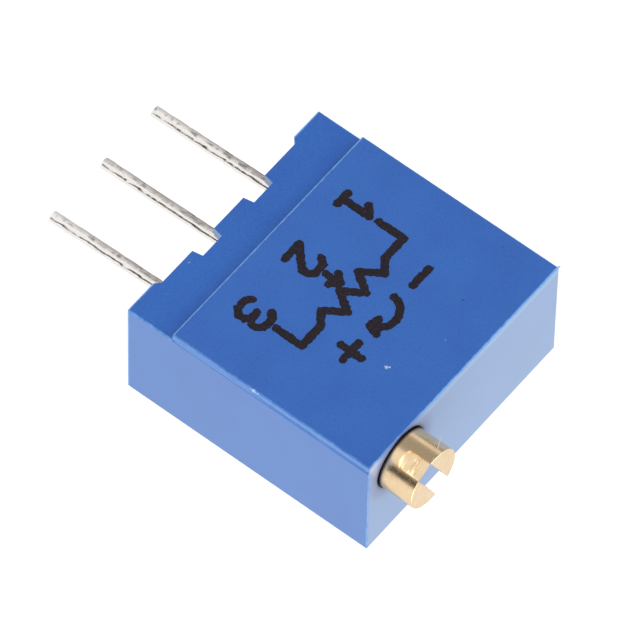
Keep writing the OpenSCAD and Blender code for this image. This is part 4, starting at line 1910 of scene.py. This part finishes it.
@dataclass
class Fibre:
    """A pale lint fibre caught on the edge of the screw's head."""

    points: tuple[Point3, ...] = ((3.2, -2.05, 10.78), (2.72, -1.945, 10.61), (2.25, -1.84, 10.38))
    radius: float = 0.011
    taper: float = 0.4
    steps: int = 24

    def build(self, shop: Workshop) -> None:
        """Lays the fibre as a thin bent tube.

        Args:
            shop: The workshop.
        """
        start, bend, end = (np.array(p) for p in self.points)
        rings = []
        for share in np.linspace(0, 1, self.steps):
            centre = start * (1 - share) ** 2 + 2 * bend * share * (1 - share) + end * share ** 2
            way = (bend - start) * (1 - share) + (end - bend) * share
            side = np.cross(way, (0.0, 0.0, 1.0))
            side /= np.linalg.norm(side)
            other = np.cross(way, side) / np.linalg.norm(way)
            radius = self.radius * (1 - self.taper + self.taper * math.sin(math.pi * share))
            rings.append(ring_across(centre, side, other, radius, steps=6))
        shop.mount(skin("lint_fibre", rings, crease_deg=60), Slot.DUST, Body.SCREW)


@dataclass
class PottingSeal:
    """The poured resin, which climbs a little up the walls and round each pin."""

    cell: float = 0.055
    wall_climb: float = 0.11
    wall_reach: float = 0.16
    pin_climb: float = 0.15
    pin_reach: float = 0.09
    ripple: float = 0.008
    ripple_rate: float = 1.1
    seed: int = 83
    pin_r: float = 0.2
    pin_xs: tuple[float, float, float] = (-2.54, 0.0, 2.54)
    level_z: float = 0.65

    def level(self, x: np.ndarray, y: np.ndarray, low: np.ndarray, high: np.ndarray) -> np.ndarray:
        """Gives the height of the free surface.

        Args:
            x: X of the points.
            y: Y of the points.
            low: Lowest corner of the resin.
            high: Highest corner of the resin.

        Returns:
            The height at each point.
        """
        wall = np.minimum.reduce([x - low[0], high[0] - x, y - low[1], high[1] - y])
        drop = self.wall_climb * np.exp(-wall / self.wall_reach)
        for pin_x in self.pin_xs:
            from_pin = np.maximum(np.hypot(x - pin_x, y) - self.pin_r, 0)
            drop = np.maximum(drop, self.pin_climb * np.exp(-from_pin / self.pin_reach))
        wave = Wobble(self.seed).at(x * self.ripple_rate + 20, y * self.ripple_rate + 20)
        return self.level_z - drop + self.ripple * wave

    def build(self, shop: Workshop) -> None:
        """Pours the resin as a slab with a free lower surface.

        Args:
            shop: The workshop.
        """
        low, high = box_mm("potting_seal")
        rows, columns = (round((high[i] - low[i]) / self.cell) + 1 for i in (0, 1))
        xs, ys = np.linspace(low[0], high[0], rows), np.linspace(low[1], high[1], columns)
        x, y = np.meshgrid(xs, ys, indexing="ij")
        free = np.stack([x, y, self.level(x, y, low, high)], axis=2).reshape(-1, 3)
        rim = [i * columns for i in range(rows)]
        rim += [(rows - 1) * columns + j for j in range(1, columns)]
        rim += [i * columns + columns - 1 for i in range(rows - 2, -1, -1)]
        rim += [j for j in range(columns - 2, 0, -1)]
        top = [(free[i][0], free[i][1], high[2]) for i in rim]
        faces: list[Sequence[int]] = [
            (i * columns + j, i * columns + j + 1, (i + 1) * columns + j + 1, (i + 1) * columns + j)
            for i in range(rows - 1) for j in range(columns - 1)
        ]
        start, count = len(free), len(rim)
        faces += [(rim[k], rim[(k + 1) % count], start + (k + 1) % count, start + k) for k in range(count)]
        faces.append([start + k for k in range(count)])
        shell = Shell()
        shell.add([*free, *top], faces)
        piece = shell.object("resin_pour")
        shade(piece, crease_deg=50)
        shop.mount(piece, Slot.RESIN, Body.BODY, "potting_seal")


@dataclass
class CarriedOver:
    """A sub-assembly whose solids stay as they are and only get their finishes."""

    finishes: dict[str, Slot] = field(default_factory=dict)

    def build(self, shop: Workshop) -> None:
        """Dresses each solid."""
        for node, slot in self.finishes.items():
            shop.dress_node(node, slot)


@dataclass
class Element(CarriedOver):
    """The ceramic with its films, solder joints and the plate that the resin is poured against."""

    finishes: dict[str, Slot] = field(default_factory=lambda: {
        "resin_dam": Slot.DAM,
        "ceramic_substrate": Slot.CERAMIC,
        "resistive_track": Slot.RESISTIVE,
        "collector_track": Slot.CONDUCTOR,
        "end_conductor_1": Slot.CONDUCTOR,
        "middle_conductor": Slot.CONDUCTOR,
        "end_conductor_3": Slot.CONDUCTOR,
        "solder_joint_1": Slot.SOLDER,
        "solder_joint_2": Slot.SOLDER,
        "solder_joint_3": Slot.SOLDER,
    })


@dataclass
class Drive(CarriedOver):
    """The screw's seal and retainer, the worm wheel and its contact spring."""

    finishes: dict[str, Slot] = field(default_factory=lambda: {
        "screw_seal": Slot.RUBBER,
        "screw_retainer": Slot.CLIP,
        "worm_wheel": Slot.WHEEL,
        "contact_spring": Slot.SPRING,
    })


@dataclass(frozen=True)
class Softbox:
    """A large soft lamp that looks at the part."""

    name: str
    azimuth_deg: float
    elevation_deg: float
    share: float
    distance: float = 320.0
    wide: float = 480.0
    tall: float = 250.0


@dataclass(frozen=True)
class Card:
    """A card beside the part that only reflections show, as a studio has."""

    name: str
    azimuth_deg: float
    half_angle_deg: float
    level: float
    distance: float = 52.0
    rise: float = 14.0
    colour: Point3 = (1.0, 1.0, 1.0)
    floor_gap: float = 0.5
    steps: int = 12


@dataclass
class Studio:
    """Floor, daylight, soft lamps and the camera."""

    floor_z: float = -26.0
    floor_half: float = 3000.0
    floor_colour: float = 0.82
    floor_lift: float = 0.36
    day: float = 0.55
    lamps: tuple[Softbox, ...] = (
        Softbox("lamp_above", -125.0, 62.0, 0.40),
        Softbox("lamp_right", 20.0, 20.0, 0.55),
        Softbox("lamp_front", -70.0, 10.0, 0.20),
    )
    cards: tuple[Card, ...] = (
        Card("card_narrow", -16.0, 14.0, 0.045, colour=(1.0, 0.82, 0.62)),
        Card("card_wide", -112.0, 30.0, 0.38, 62.0),
        Card("card_behind", 148.0, 53.0, 0.2, 70.0, -6.0, (1.0, 0.88, 0.82)),
    )
    target: Point3 = (0.0, 0.25, 5.0)
    right: Point3 = (-0.62194, -0.01379, 0.78294)
    down: Point3 = (0.65656, 0.53572, 0.53098)
    away: Point3 = (0.42676, -0.84429, 0.32413)
    camera_distance: float = 319.24
    target_right: float = 0.8926
    target_down: float = 0.3505
    lens_mm: float = 576.0
    sensor_mm: float = 36.0

    def toward(self, azimuth_deg: float, elevation_deg: float) -> Vector:
        """Gives the direction from the part to a place in the studio.

        Args:
            azimuth_deg: Angle from +X towards +Y.
            elevation_deg: Angle above the horizon.

        Returns:
            A vector of length 1.
        """
        a, e = math.radians(azimuth_deg), math.radians(elevation_deg)
        return Vector((math.cos(a) * math.cos(e), math.sin(a) * math.cos(e), math.sin(e)))

    def seen(self, graph: Graph) -> Socket:
        """Gives 1 for a ray from the camera or from a gloss, where the background is plain white.

        Args:
            graph: The world's tree.

        Returns:
            1 or 0.
        """
        path = graph.node("ShaderNodeLightPath").outputs
        shown = graph.math("MAXIMUM", path["Is Camera Ray"], path["Is Glossy Ray"])
        return graph.math("MAXIMUM", shown, path["Is Transmission Ray"])

    def daylight(self) -> None:
        """Sets the world: plain white where it is seen, and softer where it lights the part."""
        world = bpy.data.worlds.new("daylight")
        world.use_nodes = True
        world.node_tree.nodes.clear()
        graph = Graph(world.node_tree)
        strength = graph.ramp(self.seen(graph), 0.0, 1.0, self.day, 1.0)
        light = graph.node("ShaderNodeBackground", {"Color": WHITE, "Strength": strength})
        graph.node("ShaderNodeOutputWorld", {"Surface": light.outputs[0]})
        bpy.context.scene.world = world

    def floor(self) -> None:
        """Lays the pale floor, which keeps the part's shadow and can be looked through from below."""
        half = self.floor_half
        corners = ((-half, -half), (half, -half), (half, half), (-half, half))
        piece = Shell([(x, y, self.floor_z) for x, y in corners], [(0, 1, 2, 3)]).object("floor")
        made, graph = bare_material("pale_floor")
        matt = graph.node("ShaderNodeBsdfDiffuse", {"Color": (self.floor_colour,) * 3 + (1.0,)})
        path = graph.node("ShaderNodeLightPath").outputs
        lift = graph.times(path["Is Camera Ray"], self.floor_lift)
        glow = graph.node("ShaderNodeEmission", {"Color": WHITE, "Strength": lift})
        lifted = graph.node("ShaderNodeAddShader", {0: matt.outputs[0], 1: glow.outputs[0]})
        white = graph.node("ShaderNodeEmission", {"Color": WHITE, "Strength": 1.0})
        gloss = graph.math("MAXIMUM", path["Is Glossy Ray"], path["Is Transmission Ray"])
        shown = graph.node("ShaderNodeMixShader", {0: gloss, 1: lifted.outputs[0], 2: white.outputs[0]})
        clear = graph.node("ShaderNodeBsdfTransparent")
        below = graph.node("ShaderNodeNewGeometry").outputs["Backfacing"]
        both = graph.node("ShaderNodeMixShader", {0: below, 1: shown.outputs[0], 2: clear.outputs[0]})
        graph.node("ShaderNodeOutputMaterial", {"Surface": both.outputs[0]})
        piece.data.materials.append(made)

    def lamp(self, box: Softbox) -> None:
        """Hangs one soft lamp, as strong as its share of a full light on a white surface.

        Args:
            box: The lamp.
        """
        light = bpy.data.lights.new(box.name, "AREA")
        light.shape = "RECTANGLE"
        light.size = box.wide * MM
        light.size_y = box.tall * MM
        light.energy = box.share * (math.pi * box.distance * MM) ** 2
        made = bpy.data.objects.new(box.name, light)
        way = self.toward(box.azimuth_deg, box.elevation_deg)
        made.location = (Vector(self.target) + way * box.distance) * MM
        made.rotation_mode = "QUATERNION"
        made.rotation_quaternion = way.to_track_quat("Z", "Y")
        made.visible_camera = False
        bpy.context.scene.collection.objects.link(made)

    def card(self, card: Card) -> None:
        """Stands one curved card on the floor, which nothing but a gloss can see.

        Args:
            card: The card.
        """
        steps = card.steps
        foot, top = self.floor_z + card.floor_gap, self.target[2] + card.rise
        points = []
        for i in range(steps + 1):
            azimuth = card.azimuth_deg + card.half_angle_deg * (2 * i / steps - 1)
            way = self.toward(azimuth, 0.0) * card.distance
            points += [(way.x, way.y, foot), (way.x, way.y, top)]
        faces = [(2 * i, 2 * i + 2, 2 * i + 3, 2 * i + 1) for i in range(steps)]
        piece = Shell(points, faces).object(card.name)
        made, graph = bare_material(card.name)
        grey = graph.node("ShaderNodeEmission", {"Color": (*card.colour, 1.0), "Strength": card.level})
        graph.node("ShaderNodeOutputMaterial", {"Surface": grey.outputs[0]})
        piece.data.materials.append(made)
        for ray in ("camera", "diffuse", "transmission", "volume_scatter", "shadow"):
            setattr(piece, f"visible_{ray}", False)

    def camera(self) -> None:
        """Stands the camera where the photograph was taken from."""
        data = bpy.data.cameras.new("camera")
        data.sensor_width = self.sensor_mm
        data.lens = self.lens_mm
        data.clip_start = 0.01
        made = bpy.data.objects.new("camera", data)
        right, down, away = Vector(self.right), Vector(self.down), Vector(self.away)
        place = Vector(self.target) + away * self.camera_distance
        place -= right * self.target_right + down * self.target_down
        turn = Matrix((right, -down, away)).transposed()
        made.matrix_world = Matrix.Translation(place * MM) @ turn.to_4x4()
        bpy.context.scene.collection.objects.link(made)
        bpy.context.scene.camera = made

    def build(self) -> None:
        """Sets up the whole studio."""
        self.daylight()
        self.floor()
        for box in self.lamps:
            self.lamp(box)
        for card in self.cards:
            self.card(card)
        self.camera()
        bpy.context.scene.view_settings.view_transform = "Standard"


def inner_finishes() -> list[Finish]:
    """Gives the finishes that no sub-assembly works out from its own sizes.

    Returns:
        One finish for each of their slots.
    """
    return [
        Ink(Slot.INK, (24, 15, 24), 0.6),
        Cast(Slot.RESIN, (22, 40, 84), 0.2, cloud=(34, 56, 110)),
        Moulded(Slot.DAM, (196, 205, 214), 0.5, deep=(186, 196, 208), wear_and_highlight=(225, 230, 236),
                rubs_and_highlights=(RubAndHighlight(*corners_of("resin_dam")),)),
        Fired(Slot.CERAMIC, (236, 232, 222), 0.55, shade=(222, 217, 204)),
        Fired(Slot.RESISTIVE, (58, 56, 60), 0.4, shade=(44, 43, 48), weave=0.5),
        Fired(Slot.CONDUCTOR, (206, 203, 196), 0.34, shade=(182, 178, 170), metal=1.0, weave=0.4),
        # The wire gets painted shade on one side of each pin.
        Dipped(Slot.WIRE, (250, 247, 244), 0.12, dull=(236, 231, 227), ripple_mm=0.22,
               ripple_depth=0.005, side_shade=(124, 110, 104)),
        Dipped(Slot.SOLDER, (222, 222, 220), 0.2, dull=(198, 198, 198), ripple_mm=0.3,
               ripple_depth=0.015),
        Cast(Slot.RUBBER, (34, 36, 38), 0.6, cloud=(46, 48, 50), coat=0.0),
        Machined(Slot.CLIP, (198, 198, 202), 0.28, dull=(176, 176, 182)),
        Moulded(Slot.WHEEL, (238, 236, 228), 0.42, deep=(230, 227, 217), wear_and_highlight=(246, 245, 240),
                rubs_and_highlights=(RubAndHighlight(*corners_of("worm_wheel")),)),
        Machined(Slot.SPRING, (236, 206, 132), 0.22, dull=(214, 182, 110)),
        Ink(Slot.DUST, (232, 230, 224), 0.8, thin=(214, 210, 202)),
    ]


def main() -> None:
    """Builds the studio and each sub-assembly."""
    logging.basicConfig(level=logging.INFO, format="%(name)s: %(message)s")
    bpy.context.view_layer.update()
    Studio().build()
    shop = Workshop(Effects())
    housing, screw = Housing(), AdjustmentScrew()
    shop.learn([housing.finish(), screw.finish(), *inner_finishes()])
    for assembly in (housing, Marking(), Pins(), PottingSeal(), screw, Fibre(), Element(), Drive()):
        assembly.build(shop)


if __name__ == "__main__":
    main()
